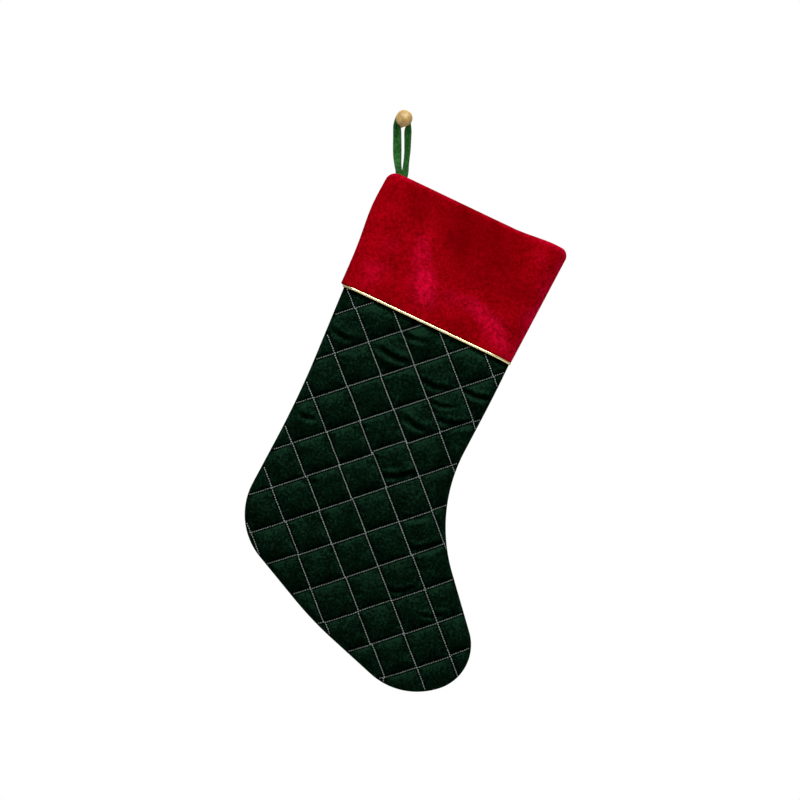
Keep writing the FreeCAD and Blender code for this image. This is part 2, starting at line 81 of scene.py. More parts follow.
def pillow(inset, reach):
    # a quarter circle: 0 at an edge with an upright start, 1 from `reach` inwards
    share = 1 - np.clip(inset, 0, reach) / reach
    return np.sqrt(np.maximum(1 - share * share, 0))


def edgeSteps(width, count, edgeCount, edge):
    # places across a width: at each edge `edgeCount` steps that grow with the square of their number,
    # and even steps between
    width = np.atleast_1d(width)[:, None]
    edge = np.minimum(edge, 0.3 * width)
    near = edge * (np.arange(edgeCount) / edgeCount) ** 2
    middle = edge + (width - 2 * edge) * np.linspace(0, 1, count - 2 * edgeCount)
    return np.concatenate([near, middle, width - near[:, ::-1]], axis=1)


def newPiece(name, points, faces, material, body, uv=None):
    # a mesh from whole arrays, with one uv pair per vertex; all its faces have the same number of corners
    mesh = bpy.data.meshes.new(name)
    mesh.vertices.add(len(points))
    mesh.vertices.foreach_set("co", np.ascontiguousarray(points, dtype=np.float32).ravel())
    mesh.loops.add(faces.size)
    mesh.loops.foreach_set("vertex_index", np.ascontiguousarray(faces, dtype=np.int32).ravel())
    mesh.polygons.add(len(faces))
    mesh.polygons.foreach_set("loop_start", np.arange(0, faces.size, faces.shape[1], dtype=np.int32))
    mesh.update(calc_edges=True)
    if uv is not None:
        layer = mesh.uv_layers.new(name="cloth")
        layer.data.foreach_set("uv", np.ascontiguousarray(uv[faces.ravel()], dtype=np.float32).ravel())
    mesh.validate()
    mesh.polygons.foreach_set("use_smooth", np.ones(len(mesh.polygons), dtype=bool))
    mesh.materials.append(material)
    piece = bpy.data.objects.new(name, mesh)
    bpy.context.scene.collection.objects.link(piece)
    if body:
        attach(piece, body)
    return piece


def gridFaces(rows, columns, roundRows=False, roundColumns=False):
    # quads of a grid of vertices, joined end to end where it is round
    index = np.arange(rows * columns).reshape(rows, columns)
    if roundRows:
        index = np.concatenate([index, index[:1]], axis=0)
    if roundColumns:
        index = np.concatenate([index, index[:, :1]], axis=1)
    quads = np.stack([index[:-1, :-1], index[1:, :-1], index[1:, 1:], index[:-1, 1:]], axis=-1)
    return quads.reshape(-1, 4)


def signedVolume(piece):
    # six times the volume that the faces enclose, negative where they point inwards
    mesh = piece.data
    mesh.calc_loop_triangles()
    corners = np.empty(len(mesh.loop_triangles) * 3, dtype=np.int32)
    mesh.loop_triangles.foreach_get("vertices", corners)
    points = np.empty(len(mesh.vertices) * 3, dtype=np.float32)
    mesh.vertices.foreach_get("co", points)
    points = points.reshape(-1, 3).astype(float)
    points -= points.mean(axis=0)
    a, b, c = (points[corners.reshape(-1, 3)[:, k]] for k in range(3))
    return float((np.cross(a, b) * c).sum())


def placePaintedLightAndNap(piece, values):
    # one number per vertex that the velvet reads: above 0 where its pile is painted pale, below 0 where dark;
    # painted light and shade, and on the cuff also brushed pile
    nap = piece.data.attributes.new("nap", "FLOAT", "POINT")
    nap.data.foreach_set("value", np.ascontiguousarray(values, dtype=np.float32).ravel())


def turnOutwards(piece):
    if signedVolume(piece) < 0:
        piece.data.flip_normals()
    return piece


def thicken(piece, thickness):
    # an open sheet becomes a closed cloth of its own thickness
    solidify = piece.modifiers.new("cloth thickness", "SOLIDIFY")
    solidify.thickness = thickness * mm
    solidify.offset = 0.0
    with bpy.context.temp_override(object=piece, active_object=piece, selected_objects=[piece]):
        bpy.ops.object.modifier_apply(modifier=solidify.name)
    turnOutwards(piece)


def tangentsOf(path, closed):
    # unit tangents of a line of points
    if closed:
        step = np.roll(path, -1, axis=0) - np.roll(path, 1, axis=0)
    else:
        step = np.gradient(path, axis=0)
    return step / np.linalg.norm(step, axis=1, keepdims=True)


def sweep(path, section, side, closed=False):
    # a section, or one for each point, carried along a path: first number along `side`, second across it
    tangent = tangentsOf(path, closed)
    side = side - tangent * (side * tangent).sum(axis=1, keepdims=True)
    side /= np.linalg.norm(side, axis=1, keepdims=True)
    across = np.cross(tangent, side)
    section = np.broadcast_to(section, (len(path),) + section.shape[-2:])
    points = path[:, None] + section[..., :1] * side[:, None] + section[..., 1:] * across[:, None]
    rows, columns = points.shape[:2]
    faces = gridFaces(rows, columns, roundRows=closed, roundColumns=True)
    points = points.reshape(-1, 3)
    length = np.concatenate([[0], np.cumsum(np.linalg.norm(np.diff(path, axis=0), axis=1))])
    uv = np.stack(np.meshgrid(length / mm, np.linspace(0, 1, columns), indexing="ij"), axis=-1)
    uv = uv.reshape(-1, 2)
    if not closed:
        ends = np.arange(len(points)).reshape(rows, columns)[[0, -1]]
        hubs = np.stack([path[0], path[-1]])
        points = np.concatenate([points, hubs])
        uv = np.concatenate([uv, uv[[0, -1]]])
        first, last = len(points) - 2, len(points) - 1
        half = columns // 2
        near, far = ends[0].reshape(half, 2), ends[1].reshape(half, 2)
        following = np.roll(near[:, 0], -1), np.roll(far[:, 0], -1)
        startCap = np.stack([np.full(half, first), near[:, 0], near[:, 1], following[0]], axis=-1)
        endCap = np.stack([np.full(half, last), following[1], far[:, 1], far[:, 0]], axis=-1)
        faces = np.concatenate([faces, startCap, endCap])
    return points, faces, uv


def smoothLine(corners, count):
    # a Catmull-Rom line through the corners, evenly spaced along its length
    corners = np.asarray(corners, dtype=float)
    ends = np.concatenate([[2 * corners[0] - corners[1]], corners, [2 * corners[-1] - corners[-2]]])
    t = np.linspace(0, len(corners) - 1, 40 * len(corners))
    stretch = np.minimum(t.astype(int), len(corners) - 2)
    t = (t - stretch)[:, None]
    a, b, c, d = (ends[stretch + k] for k in range(4))
    line = 0.5 * (2 * b + (c - a) * t + (2 * a - 5 * b + 4 * c - d) * t**2 + (3 * b - a - 3 * c + d) * t**3)
    return evenly(line, count)


def evenly(line, count):
    # the same line with `count` points at even distances
    length = np.concatenate([[0], np.cumsum(np.linalg.norm(np.diff(line, axis=0), axis=1))])
    at = np.linspace(0, length[-1], count)
    return np.stack([np.interp(at, length, line[:, k]) for k in range(line.shape[1])], axis=-1)


def ring(count, wide, thick, square=2.0):
    # a closed oval; `square` above 2 makes it a rounded rectangle
    angle = np.arange(count) / count * 2 * math.pi
    cosine, sine = np.cos(angle), np.sin(angle)
    return np.stack([
        wide / 2 * np.sign(cosine) * np.abs(cosine) ** (2 / square),
        thick / 2 * np.sign(sine) * np.abs(sine) ** (2 / square),
    ], axis=-1)


def newMaterial(name, roughness, metallic=0.0, specular=0.5, sheen=0.0, sheenTint=(1, 1, 1)):
    material = bpy.data.materials.new(name)
    material.use_nodes = True
    tree = material.node_tree
    shader = tree.nodes["Principled BSDF"]
    shader.inputs["Roughness"].default_value = roughness
    shader.inputs["Metallic"].default_value = metallic
    shader.inputs["Specular IOR Level"].default_value = specular
    shader.inputs["Sheen Weight"].default_value = sheen
    shader.inputs["Sheen Tint"].default_value = (*sheenTint, 1)
    shader.inputs["Sheen Roughness"].default_value = 0.4
    return material, tree, shader


def coordinates(tree, kind, scale=(1, 1, 1)):
    # Object or UV coordinates, through a Mapping node
    source = tree.nodes.new("ShaderNodeTexCoord")
    mapping = tree.nodes.new("ShaderNodeMapping")
    mapping.inputs["Scale"].default_value = scale
    tree.links.new(source.outputs[kind], mapping.inputs["Vector"])
    return mapping.outputs["Vector"]


def noise(tree, vector, size, detail=2.0, roughness=0.5):
    # cloudy values about one half, with features of `size` mm
    node = tree.nodes.new("ShaderNodeTexNoise")
    node.inputs["Scale"].default_value = 1 / (size * mm)
    node.inputs["Detail"].default_value = detail
    node.inputs["Roughness"].default_value = roughness
    tree.links.new(vector, node.inputs["Vector"])
    return node.outputs["Fac"]


def calculate(tree, operation, *values):
    # one Math node fed by sockets or plain numbers
    node = tree.nodes.new("ShaderNodeMath")
    node.operation = operation
    for socket, value in zip(node.inputs, values):
        if isinstance(value, (int, float)):
            socket.default_value = value
        else:
            tree.links.new(value, socket)
    return node.outputs[0]


def plus(tree, first, second):
    return calculate(tree, "ADD", first, second)


def times(tree, first, second):
    return calculate(tree, "MULTIPLY", first, second)


def ramp(tree, value, stops):
    # a colour for each value, from (place, colour) pairs
    node = tree.nodes.new("ShaderNodeValToRGB")
    elements = node.color_ramp.elements
    while len(elements) < len(stops):
        elements.new(0.5)
    for element, (place, colour) in zip(elements, stops):
        element.position = place
        element.color = (*colour, 1)
    tree.links.new(value, node.inputs["Fac"])
    return node.outputs["Color"]


def blendColours(tree, kind, amount, first, second):
    node = tree.nodes.new("ShaderNodeMix")
    node.data_type = "RGBA"
    node.blend_type = kind
    for socket, value in ((node.inputs[0], amount), (node.inputs[6], first), (node.inputs[7], second)):
        if isinstance(value, (int, float)):
            socket.default_value = value
        elif isinstance(value, tuple):
            socket.default_value = (*value, 1)
        else:
            tree.links.new(value, socket)
    return node.outputs[2]


def addBump(tree, shader, height, depth, strength=1.0):
    # `depth` in mm is the height of a value of 1
    node = tree.nodes.new("ShaderNodeBump")
    node.inputs["Distance"].default_value = depth * mm
    node.inputs["Strength"].default_value = strength
    tree.links.new(height, node.inputs["Height"])
    tree.links.new(node.outputs["Normal"], shader.inputs["Normal"])


def velvet(name, dark, middle, light, sheen, sheenTint, clump=3.6, contrast=0.16, nap=30.0, lean=0.0):
    # pile in clumps of a few mm that lean different ways: light and dark patches at three sizes
    material, tree, shader = newMaterial(name, 1.0, specular=0.0, sheen=sheen, sheenTint=sheenTint)
    place = coordinates(tree, "Object")
    clumps = noise(tree, place, clump, 3.0, 0.62)
    drift = noise(tree, place, nap, 2.0)
    fibre = noise(tree, place, 1.1, 1.0)
    mottled = plus(tree, times(tree, clumps, 0.72), times(tree, drift, 0.28))
    if lean:
        # the piece's own attribute says how far its surface leans towards the light
        leans = tree.nodes.new("ShaderNodeAttribute")
        leans.attribute_name = "nap"
        mottled = plus(tree, mottled, times(tree, leans.outputs["Fac"], lean))
    colour = ramp(tree, mottled, [
        (0.5 - contrast, dark),
        (0.5, middle),
        (0.5 + contrast, light),
    ])
    height = plus(tree, times(tree, clumps, 0.8), times(tree, fibre, 0.25))
    addBump(tree, shader, height, 0.9, 0.8)
    return material, tree, shader, colour


def colourIn(tree, shader, colour):
    tree.links.new(colour, shader.inputs["Base Color"])


# green quilted velvet, with painted shade in the valleys along the quilting lines
quiltedVelvetLook = {
    "dark": (0.0000, 0.0008, 0.0002),
    "middle": (0.0010, 0.0050, 0.0022),
    "light": (0.0048, 0.0205, 0.0098),
    "lean": 0.165,  # how much the pile's light changes with the way that the surface leans
    "valley": 1.7,  # mm each side of a line where shade is painted
    "pitch": 37.4,  # mm, between the two families' distances
}


def quiltedVelvet():
    look = quiltedVelvetLook
    material, tree, shader, colour = velvet(
        "green quilted velvet", look["dark"], look["middle"], look["light"], 0.016, (0.10, 0.80, 0.34),
        clump=2.6, contrast=0.19, nap=17.0, lean=look["lean"])
    lines = coordinates(tree, "UV")
    parts = tree.nodes.new("ShaderNodeSeparateXYZ")
    tree.links.new(lines, parts.inputs[0])
    nearest = None
    for axis in ("X", "Y"):
        # distance to the nearest whole number, in mm
        beyond = calculate(tree, "FRACT", parts.outputs[axis])
        apart = calculate(tree, "ABSOLUTE", calculate(tree, "SUBTRACT", beyond, 0.5))
        apart = times(tree, calculate(tree, "SUBTRACT", 0.5, apart), look["pitch"])
        nearest = apart if nearest is None else calculate(tree, "MINIMUM", nearest, apart)
    # painted shade: the colour is darkest on each quilting line and clears by `valley` mm from it
    paintedValleyShade = ramp(tree, calculate(tree, "DIVIDE", nearest, look["valley"] * 2), [
        (0.0, (0.10, 0.10, 0.10)), (0.32, (0.16, 0.16, 0.16)), (0.8, (1, 1, 1)),
    ])
    colourIn(tree, shader, blendColours(tree, "MULTIPLY", 1.0, colour, paintedValleyShade))
    return material


def plainVelvet(name, dark, middle, light, sheen, sheenTint, **more):
    material, tree, shader, colour = velvet(name, dark, middle, light, sheen, sheenTint, **more)
    colourIn(tree, shader, colour)
    return material


def cuffVelvet():
    # red pile with paler and darker patches that the cuff's own attribute places: brushed pile, with painted
    # light and painted shade
    material, tree, shader, colour = velvet(
        "red cuff velvet", (0.100, 0.0001, 0.0006), (0.195, 0.0002, 0.0022), (0.30, 0.0004, 0.0055),
        0.09, (1.0, 0.015, 0.09), clump=3.0, contrast=0.19, nap=20.0)
    nap = tree.nodes.new("ShaderNodeAttribute")
    nap.attribute_name = "nap"
    patches = noise(tree, coordinates(tree, "Object"), 6.0, 4.0, 0.7)
    broken = ramp(tree, patches, [(0.36, (0.15,) * 3), (0.66, (1.0,) * 3)])
    # painted light where the attribute is above 0, broken by cloudy noise; painted shade where it is below 0
    lit = times(tree, calculate(tree, "MAXIMUM", nap.outputs["Fac"], 0.0), broken)
    shaded = times(tree, calculate(tree, "MINIMUM", nap.outputs["Fac"], 0.0), -0.95)
    paler = blendColours(tree, "ADD", lit, colour, (0.34, 0.0022, 0.0300))
    colourIn(tree, shader, blendColours(tree, "MIX", shaded, paler, (0.090, 0.0, 0.0005)))
    return material


def woven(name, colour, thread, roughness=0.8, specular=0.2, sheen=0.0):
    # a plain weave: two crossed waves on the piece's own uv, in mm
    material, tree, shader = newMaterial(name, roughness, specular=specular, sheen=sheen)
    place = coordinates(tree, "UV", (1 / thread, 1 / thread, 1))
    parts = tree.nodes.new("ShaderNodeSeparateXYZ")
    tree.links.new(place, parts.inputs[0])
    waves = [calculate(tree, "SINE", times(tree, parts.outputs[axis], 2 * math.pi)) for axis in "XY"]
    weave = plus(tree, times(tree, times(tree, *waves), 0.5), 0.5)
    cloudy = noise(tree, coordinates(tree, "Object"), 6.0, 3.0)
    mixed = plus(tree, times(tree, weave, 0.35), times(tree, cloudy, 0.65))
    dark = tuple(0.62 * part for part in colour)
    light = tuple(min(1.0, 1.25 * part) for part in colour)
    colourIn(tree, shader, ramp(tree, mixed, [(0.3, dark), (0.5, colour), (0.7, light)]))
    addBump(tree, shader, weave, 0.12, 0.7)
    return material


def goldFoil():
    # metallic foil yarn laid slantwise round the piping
    material, tree, shader = newMaterial("gold foil yarn", 0.24, metallic=1.0)
    place = coordinates(tree, "UV")
    parts = tree.nodes.new("ShaderNodeSeparateXYZ")
    tree.links.new(place, parts.inputs[0])
    slant = plus(tree, times(tree, parts.outputs["X"], 1 / 0.9), parts.outputs["Y"])
    yarn = calculate(tree, "ABSOLUTE", calculate(tree, "SINE", times(tree, slant, math.pi)))
    speck = noise(tree, coordinates(tree, "Object"), 1.3, 2.0)
    mixed = plus(tree, times(tree, yarn, 0.4), times(tree, speck, 0.6))
    colourIn(tree, shader, ramp(tree, mixed, [
        (0.28, (0.42, 0.31, 0.07)), (0.5, (0.86, 0.70, 0.28)), (0.72, (1.0, 0.93, 0.62)),
    ]))
    tree.links.new(plus(tree, 0.10, times(tree, speck, 0.20)), shader.inputs["Roughness"])
    addBump(tree, shader, yarn, 0.10, 0.4)
    return material


def silverThread(name, dull, bright, roughness):
    material, tree, shader = newMaterial(name, roughness, metallic=0.2, specular=0.6)
    speck = noise(tree, coordinates(tree, "Object"), 1.0, 2.0)
    colourIn(tree, shader, ramp(tree, speck, [(0.3, dull), (0.62, bright)]))
    addBump(tree, shader, speck, 0.12, 0.5)
    return material


def turnedWood():
    # pale close-grained wood: faint growth rings, cloudy colour, fine pores and a soft satin finish
    material, tree, shader = newMaterial("turned wood", 0.42, specular=0.4)
    place = coordinates(tree, "Object", (1, 0.25, 0.9))
    rings = tree.nodes.new("ShaderNodeTexWave")
    rings.wave_type = "RINGS"
    rings.rings_direction = "Y"
    rings.inputs["Scale"].default_value = 150.0
    rings.inputs["Distortion"].default_value = 3.4
    rings.inputs["Detail"].default_value = 3.0
    rings.inputs["Detail Scale"].default_value = 1.6
    tree.links.new(place, rings.inputs["Vector"])
    pores = noise(tree, place, 0.7, 4.0, 0.6)
    cloudy = noise(tree, place, 7.0, 3.0)
    grain = plus(tree, times(tree, rings.outputs["Fac"], 0.10),
                  times(tree, cloudy, 0.90))
    base = ramp(tree, grain, [
        (0.28, (0.22, 0.125, 0.040)), (0.48, (0.37, 0.245, 0.085)), (0.72, (0.50, 0.35, 0.145)),
    ])
    poreShade = ramp(tree, pores, [(0.32, (0.62, 0.55, 0.45)), (0.46, (1, 1, 1))])
    colourIn(tree, shader, blendColours(tree, "MULTIPLY", 0.7, base, poreShade))
    addBump(tree, shader, grain, 0.10, 0.4)
    return material


camera = {
    "azimuth": -4.5,
    "distance": 2.7,
    "target": (-0.0026, float(loopSeam[1]), -0.2949),
    "lens": 115.15,
}
lights = {
    # place, metres; side of the soft box, metres; watts
    "key light": ((-0.62, -1.00, 1.10), 0.50, 21.0),
    "side light": ((0.40, -0.93, 0.57), 0.45, 11.0),
    "back light": ((0.3, 1.5, 0.9), 1.0, 18.0),
}
studio = {
    "background": 1.0,
    "fill": 0.75,
    "below": 0.10,  # how bright the room is underneath, of its brightness overhead
    "floor": -1.2,
}


def addCamera():
    data = bpy.data.cameras.new("camera")
    data.lens = camera["lens"]
    data.sensor_width = 36.0
    around = math.radians(camera["azimuth"])
    x, y, z = camera["target"]
    eye = bpy.data.objects.new("camera", data)
    eye.location = (x + math.sin(around) * camera["distance"], y - math.cos(around) * camera["distance"], z)
    eye.rotation_euler = (math.pi / 2, 0, around)
    bpy.context.scene.collection.objects.link(eye)
    bpy.context.scene.camera = eye


def addLight(name, place, target, size, power):
    # a square soft box that faces its target
    data = bpy.data.lights.new(name, "AREA")
    data.size = size
    data.energy = power
    box = bpy.data.objects.new(name, data)
    way = np.array(target) - np.array(place)
    box.location = place
    level = math.hypot(way[0], way[1])
    box.rotation_euler = (math.atan2(level, -way[2]), 0, math.atan2(-way[0], way[1]))
    bpy.context.scene.collection.objects.link(box)


def addStudio():
    scene = bpy.context.scene
    scene.view_settings.view_transform = "Standard"
    scene.view_settings.look = "None"
    world = bpy.data.worlds.new("studio")
    world.use_nodes = True
    nodes, links = world.node_tree.nodes, world.node_tree.links
    soft = nodes["Background"]
    soft.inputs["Strength"].default_value = studio["fill"]
    parts = nodes.new("ShaderNodeSeparateXYZ")
    links.new(nodes.new("ShaderNodeTexCoord").outputs["Generated"], parts.inputs[0])
    height = plus(world.node_tree, times(world.node_tree, parts.outputs["Z"], 0.5), 0.5)
    low = studio["below"]
    room = ramp(world.node_tree, height, [(0.15, (low,) * 3), (0.62, (0.7,) * 3), (0.9, (1, 1, 1))])
    links.new(room, soft.inputs["Color"])
    seen = nodes.new("ShaderNodeBackground")
    seen.inputs["Color"].default_value = (1, 1, 1, 1)
    seen.inputs["Strength"].default_value = studio["background"]
    path = nodes.new("ShaderNodeLightPath")
    pick = nodes.new("ShaderNodeMixShader")
    links.new(path.outputs["Is Camera Ray"], pick.inputs[0])
    links.new(soft.outputs[0], pick.inputs[1])
    links.new(seen.outputs[0], pick.inputs[2])
    links.new(pick.outputs[0], nodes["World Output"].inputs["Surface"])
    scene.world = world
    for name, (place, size, power) in lights.items():
        addLight(name, place, camera["target"], size, power)
    floor, tree, shader = newMaterial("pale floor", 0.8, specular=0.2)
    colourIn(tree, shader, ramp(tree, noise(tree, coordinates(tree, "Object"), 400.0), [
        (0.3, (0.80, 0.79, 0.77)), (0.7, (0.86, 0.85, 0.83)),
    ]))
    side = np.array([-1.5, 1.5])
    x, y = np.meshgrid(side, side, indexing="ij")
    corners = np.stack([x, y, np.full_like(x, studio["floor"])], axis=-1).reshape(-1, 3)
    newPiece("floor", corners, gridFaces(2, 2), floor, None)


addCamera()
addStudio()
print("camera and studio are set")

leg = {
    # corners of the sewn outline from the mouth's heel side round to its toe side: x, z, rounding
    "corners": [
        (-15.8, 4.0, 0), (-4, -250, 1000), (-12, -399, 70), (108, -457, 400), (226, -494, 74),
        (298, -436, 48), (176, -297, 170), (183, -159, 1500), (184.7, 4.0, 0),
    ],
    "toeWay": -51.0,  # degrees below level that the toe's tip faces
    "halfDepth": 13.2,
    "edgeReach": 34.0,  # how far from the seam the leg is still rounding
    "wall": 2.6,  # velvet, batting and backing together
    "seamGap": 0.0,
    "tuck": 2.4,  # how far the cuff's seam pulls the leg in at the hem
    "rows": 400,
    "columns": 150,
    "cuffRows": 22,
    "hem": -122.0,
}


def roundedLine(corners, step=1.5):
    # straight runs joined by arcs: an arc of radius r starts r * tan(turn / 2) before its corner
    line = [np.array([corners[0][:2]], dtype=float)]
    for before, corner, after in zip(corners, corners[1:], corners[2:]):
        radius = corner[2]
        at = np.array(corner[:2], dtype=float)
        back = np.array(before[:2]) - at
        on = np.array(after[:2]) - at
        back, on = back / np.linalg.norm(back), on / np.linalg.norm(on)
        turn = math.pi - math.acos(np.dot(back, on))
        centre = at + (back + on) / np.linalg.norm(back + on) * radius / math.cos(turn / 2)
        start = at + back * radius * math.tan(turn / 2) - centre
        way = np.sign(start[1] * back[0] - start[0] * back[1])
        angle = np.linspace(0, way * turn, max(3, int(radius * turn / step)))
        cosine, sine = np.cos(angle), np.sin(angle)
        turned = [start[0] * cosine - start[1] * sine, start[0] * sine + start[1] * cosine]
        line.append(np.stack(turned, axis=-1) + centre)
    line.append(np.array([corners[-1][:2]], dtype=float))
    line = np.concatenate(line)
    length = np.linalg.norm(np.diff(line, axis=0), axis=1).sum()
    return evenly(line, int(length / step))


outline = roundedLine(leg["corners"])
toeFacing = np.array([math.cos(math.radians(leg["toeWay"])), math.sin(math.radians(leg["toeWay"]))])
toeTip = int(np.argmax(outline @ toeFacing))


def edgeDistance(x, z):
    # the shortest distance from each point to the sewn outline's straight steps
    points = np.stack([np.ravel(x), np.ravel(z)], axis=-1)
    start, step = outline[:-1], np.diff(outline, axis=0)
    inverse = 1 / (step * step).sum(axis=1)
    nearest = np.empty(len(points))
    for first in range(0, len(points), 8000):
        block = points[first:first + 8000, None] - start
        share = np.clip((block * step).sum(axis=2) * inverse, 0, 1)
        gap = block - share[..., None] * step
        nearest[first:first + 8000] = np.sqrt((gap * gap).sum(axis=2).min(axis=1))
    return nearest.reshape(np.shape(x))


quilt = {
    # the two families of lines: mm apart, degrees from the leg's length, mm of line 0 from the loop's seam
    "fall": (37.1, 46.1, 20.7),
    "rise": (37.8, 46.7, 33.8),
    "puff": 2.8,  # height of a puff, mm
    "gutter": 0.022,  # half width of the flat strip that the stitches lie in, in pitches
    "wander": 0.010,  # sideways shift of a stitched stretch, in pitches
    "slip": 0.050,  # the larger shift of a few stretches
    "ease": 0.05,  # half of the way over which a shift changes at a crossing, in pitches
}
# cells each way, steps across a cell, a cell's side in simulated metres, frames, pressure and slack
patch = {"cells": 6, "steps": 16, "cell": 0.4, "frames": 24, "pressure": 3.0, "slack": 0.06}


def quiltPlace(x, z):
    # distances across the two families of lines, in pitches: falling lines, then rising lines
    fallPitch, fallAngle, fallStart = quilt["fall"]
    risePitch, riseAngle, riseStart = quilt["rise"]
    a, b = math.radians(fallAngle), math.radians(riseAngle)
    fall = (-math.cos(a) * x - math.sin(a) * z - fallStart) / fallPitch
    rise = (math.cos(b) * x - math.sin(b) * z - riseStart) / risePitch
    return fall, rise


def flatPlace(fall, rise):
    # the inverse: from pitches back to the flat frame
    fallPitch, fallAngle, fallStart = quilt["fall"]
    risePitch, riseAngle, riseStart = quilt["rise"]
    a, b = math.radians(fallAngle), math.radians(riseAngle)
    across = fall * fallPitch + fallStart
    along = rise * risePitch + riseStart
    x = (math.sin(a) * along - math.sin(b) * across) / math.sin(a + b)
    z = -(math.cos(b) * across + math.cos(a) * along) / math.sin(a + b)
    return x, z


def shiftTable(seed):
    # small sideways shifts of each stretch of each line, a few of them larger
    random = np.random.default_rng(seed)
    table = random.normal(0, quilt["wander"], (64, 64))
    return table + random.normal(0, quilt["slip"], (64, 64)) * (random.random((64, 64)) > 0.9)


def lineShift(line, along, table):
    # the shift of whole line number `line` at `along`: constant between crossings, eased across each crossing
    nearest = np.round(along)
    part = ease((along - nearest) / (2 * quilt["ease"]) + 0.5)
    row = np.asarray(line).astype(int) % 64
    before = table[row, (nearest.astype(int) - 1) % 64]
    after = table[row, nearest.astype(int) % 64]
    return before + (after - before) * part


def wander(across, along, table):
    # the shift between whole lines is shared out between both
    lower = np.floor(across)
    part = across - lower
    return lineShift(lower, along, table) * (1 - part) + lineShift(lower + 1, along, table) * part


shifts = {
    "front": (shiftTable(11), shiftTable(12)),
    "back": (shiftTable(21), shiftTable(22)),
}


def quiltUv(x, z, side):
    fall, rise = quiltPlace(x, z)
    fallTable, riseTable = shifts[side]
    return fall - wander(fall, rise, fallTable), rise - wander(rise, fall, riseTable)


def simulatePuffs():
    # a square of cloth, held along its quilting lines and pushed out from behind, with a little slack
    count = patch["cells"] * patch["steps"] + 1
    along = np.arange(count) / patch["steps"] * patch["cell"]
    x, y = np.meshgrid(along, along, indexing="ij")
    height = np.random.default_rng(5).uniform(0, 0.006, x.shape)
    points = np.stack([x, y, height], axis=-1).reshape(-1, 3)
    material, _, _ = newMaterial("patch", 1.0)
    cloth = newPiece("quilting patch", points, gridFaces(count, count), material, None)
    onLine = np.arange(count) % patch["steps"] == 0
    held = np.where((onLine[:, None] | onLine[None, :]).ravel())[0]
    cloth.vertex_groups.new(name="stitched").add(held.tolist(), 1.0, "REPLACE")
    settings = cloth.modifiers.new("cloth", "CLOTH").settings
    settings.vertex_group_mass = "stitched"
    settings.quality = 6
    settings.mass = 0.3
    settings.tension_stiffness = 15
    settings.compression_stiffness = 15
    settings.shear_stiffness = 5
    settings.bending_stiffness = 0.05
    settings.air_damping = 2
    settings.use_pressure = True
    settings.uniform_pressure_force = patch["pressure"]
    settings.shrink_min = -patch["slack"]
    settings.effector_weights.gravity = 0
    scene = bpy.context.scene
    for number in range(1, patch["frames"] + 1):
        scene.frame_set(number)
    with bpy.context.temp_override(object=cloth, active_object=cloth, selected_objects=[cloth]):
        bpy.ops.object.modifier_apply(modifier="cloth")
    scene.frame_set(1)
    result = np.empty(count * count * 3, dtype=np.float32)
    cloth.data.vertices.foreach_get("co", result)
    bpy.data.objects.remove(cloth)
    return np.maximum(result.reshape(count, count, 3)[..., 2].astype(float), 0)


puffs = simulatePuffs()
puffs /= np.percentile(puffs, 90)
print("quilting puffs are ready, highest", round(float(puffs.max()), 3))


def patchHeight(fall, rise):
    # each cell of the leg takes a cell of the patch, turned or mirrored by the cell's own number
    cellA, cellB = np.floor(fall).astype(int), np.floor(rise).astype(int)
    a, b = fall - cellA, rise - cellB
    pick = (cellA * 73 + cellB * 179 + 1000) % 997
    a, b = np.where(pick % 2, 1 - a, a), np.where(pick % 3 == 0, 1 - b, b)
    a, b = np.where(pick % 5 < 2, b, a), np.where(pick % 5 < 2, a, b)
    row = (pick // 7 % patch["cells"] + a) * patch["steps"]
    column = (pick // 11 % patch["cells"] + b) * patch["steps"]
    i, j = np.minimum(row.astype(int), len(puffs) - 2), np.minimum(column.astype(int), len(puffs) - 2)
    row, column = row - i, column - j
    near = puffs[i, j] * (1 - column) + puffs[i, j + 1] * column
    far = puffs[i + 1, j] * (1 - column) + puffs[i + 1, j + 1] * column
    return near * (1 - row) + far * row


def puffHeight(fall, rise):
    # half a plain cushion with flat middle and steep sides, half the simulated cloth
    edge = 0.5 - quilt["gutter"]
    a = np.minimum(np.abs(fall - np.floor(fall) - 0.5) / edge, 1)
    b = np.minimum(np.abs(rise - np.floor(rise) - 0.5) / edge, 1)
    cushion = np.sqrt(np.maximum(1 - a**4, 0) * np.maximum(1 - b**4, 0))
    gate = ease((1 - a) / 0.08) * ease((1 - b) / 0.08)
    return 0.5 * cushion + 0.5 * patchHeight(fall, rise) * gate


# short creases pressed into the front: x, z of both ends, depth and width, mm
creases = [
    (-5, -170, 22, -173, 1.7, 3.4), (46, -168, 88, -169, 2.1, 3.8), (104, -180, 135, -177, 1.9, 3.4),
    (147, -171, 183, -166, 2.1, 3.2), (101, -221, 132, -227, 1.8, 3.6), (137, -211, 177, -198, 1.9, 3.6),
    (111, -289, 141, -270, 1.8, 3.6), (171, -346, 201, -323, 2.0, 3.8), (1, -265, 22, -264, 1.5, 3.2),
    (167, -395, 192, -379, 1.4, 3.2), (60, -143, 96, -141, 1.2, 3.0), (120, -196, 150, -190, 1.2, 2.6),
    (26, -330, 52, -322, 1.0, 3.0), (150, -318, 172, -306, 1.2, 3.0), (206, -404, 232, -392, 1.0, 3.0),
]


creaseLook = {"strength": 0.78, "bend": 3.0}


def creaseDepth(x, z):
    # each crease is a groove with a low fold on each side, fading at its ends
    total = np.zeros(np.shape(x))
    for x1, z1, x2, z2, depth, width in creases:
        length = math.hypot(x2 - x1, z2 - z1)
        along = ((x - x1) * (x2 - x1) + (z - z1) * (z2 - z1)) / length**2
        bend = creaseLook["bend"] * np.sin(math.pi * np.clip(along, 0, 1))
        across = ((z - z1) * (x2 - x1) - (x - x1) * (z2 - z1)) / length + bend
        gate = ease((along + 0.15) / 0.4) * ease((1.15 - along) / 0.4)
        folds = 0.75 * bump(across / width - 1.5) + 0.5 * bump(across / width + 1.5) - bump(across / width)
        total += creaseLook["strength"] * depth * gate * folds
    return total


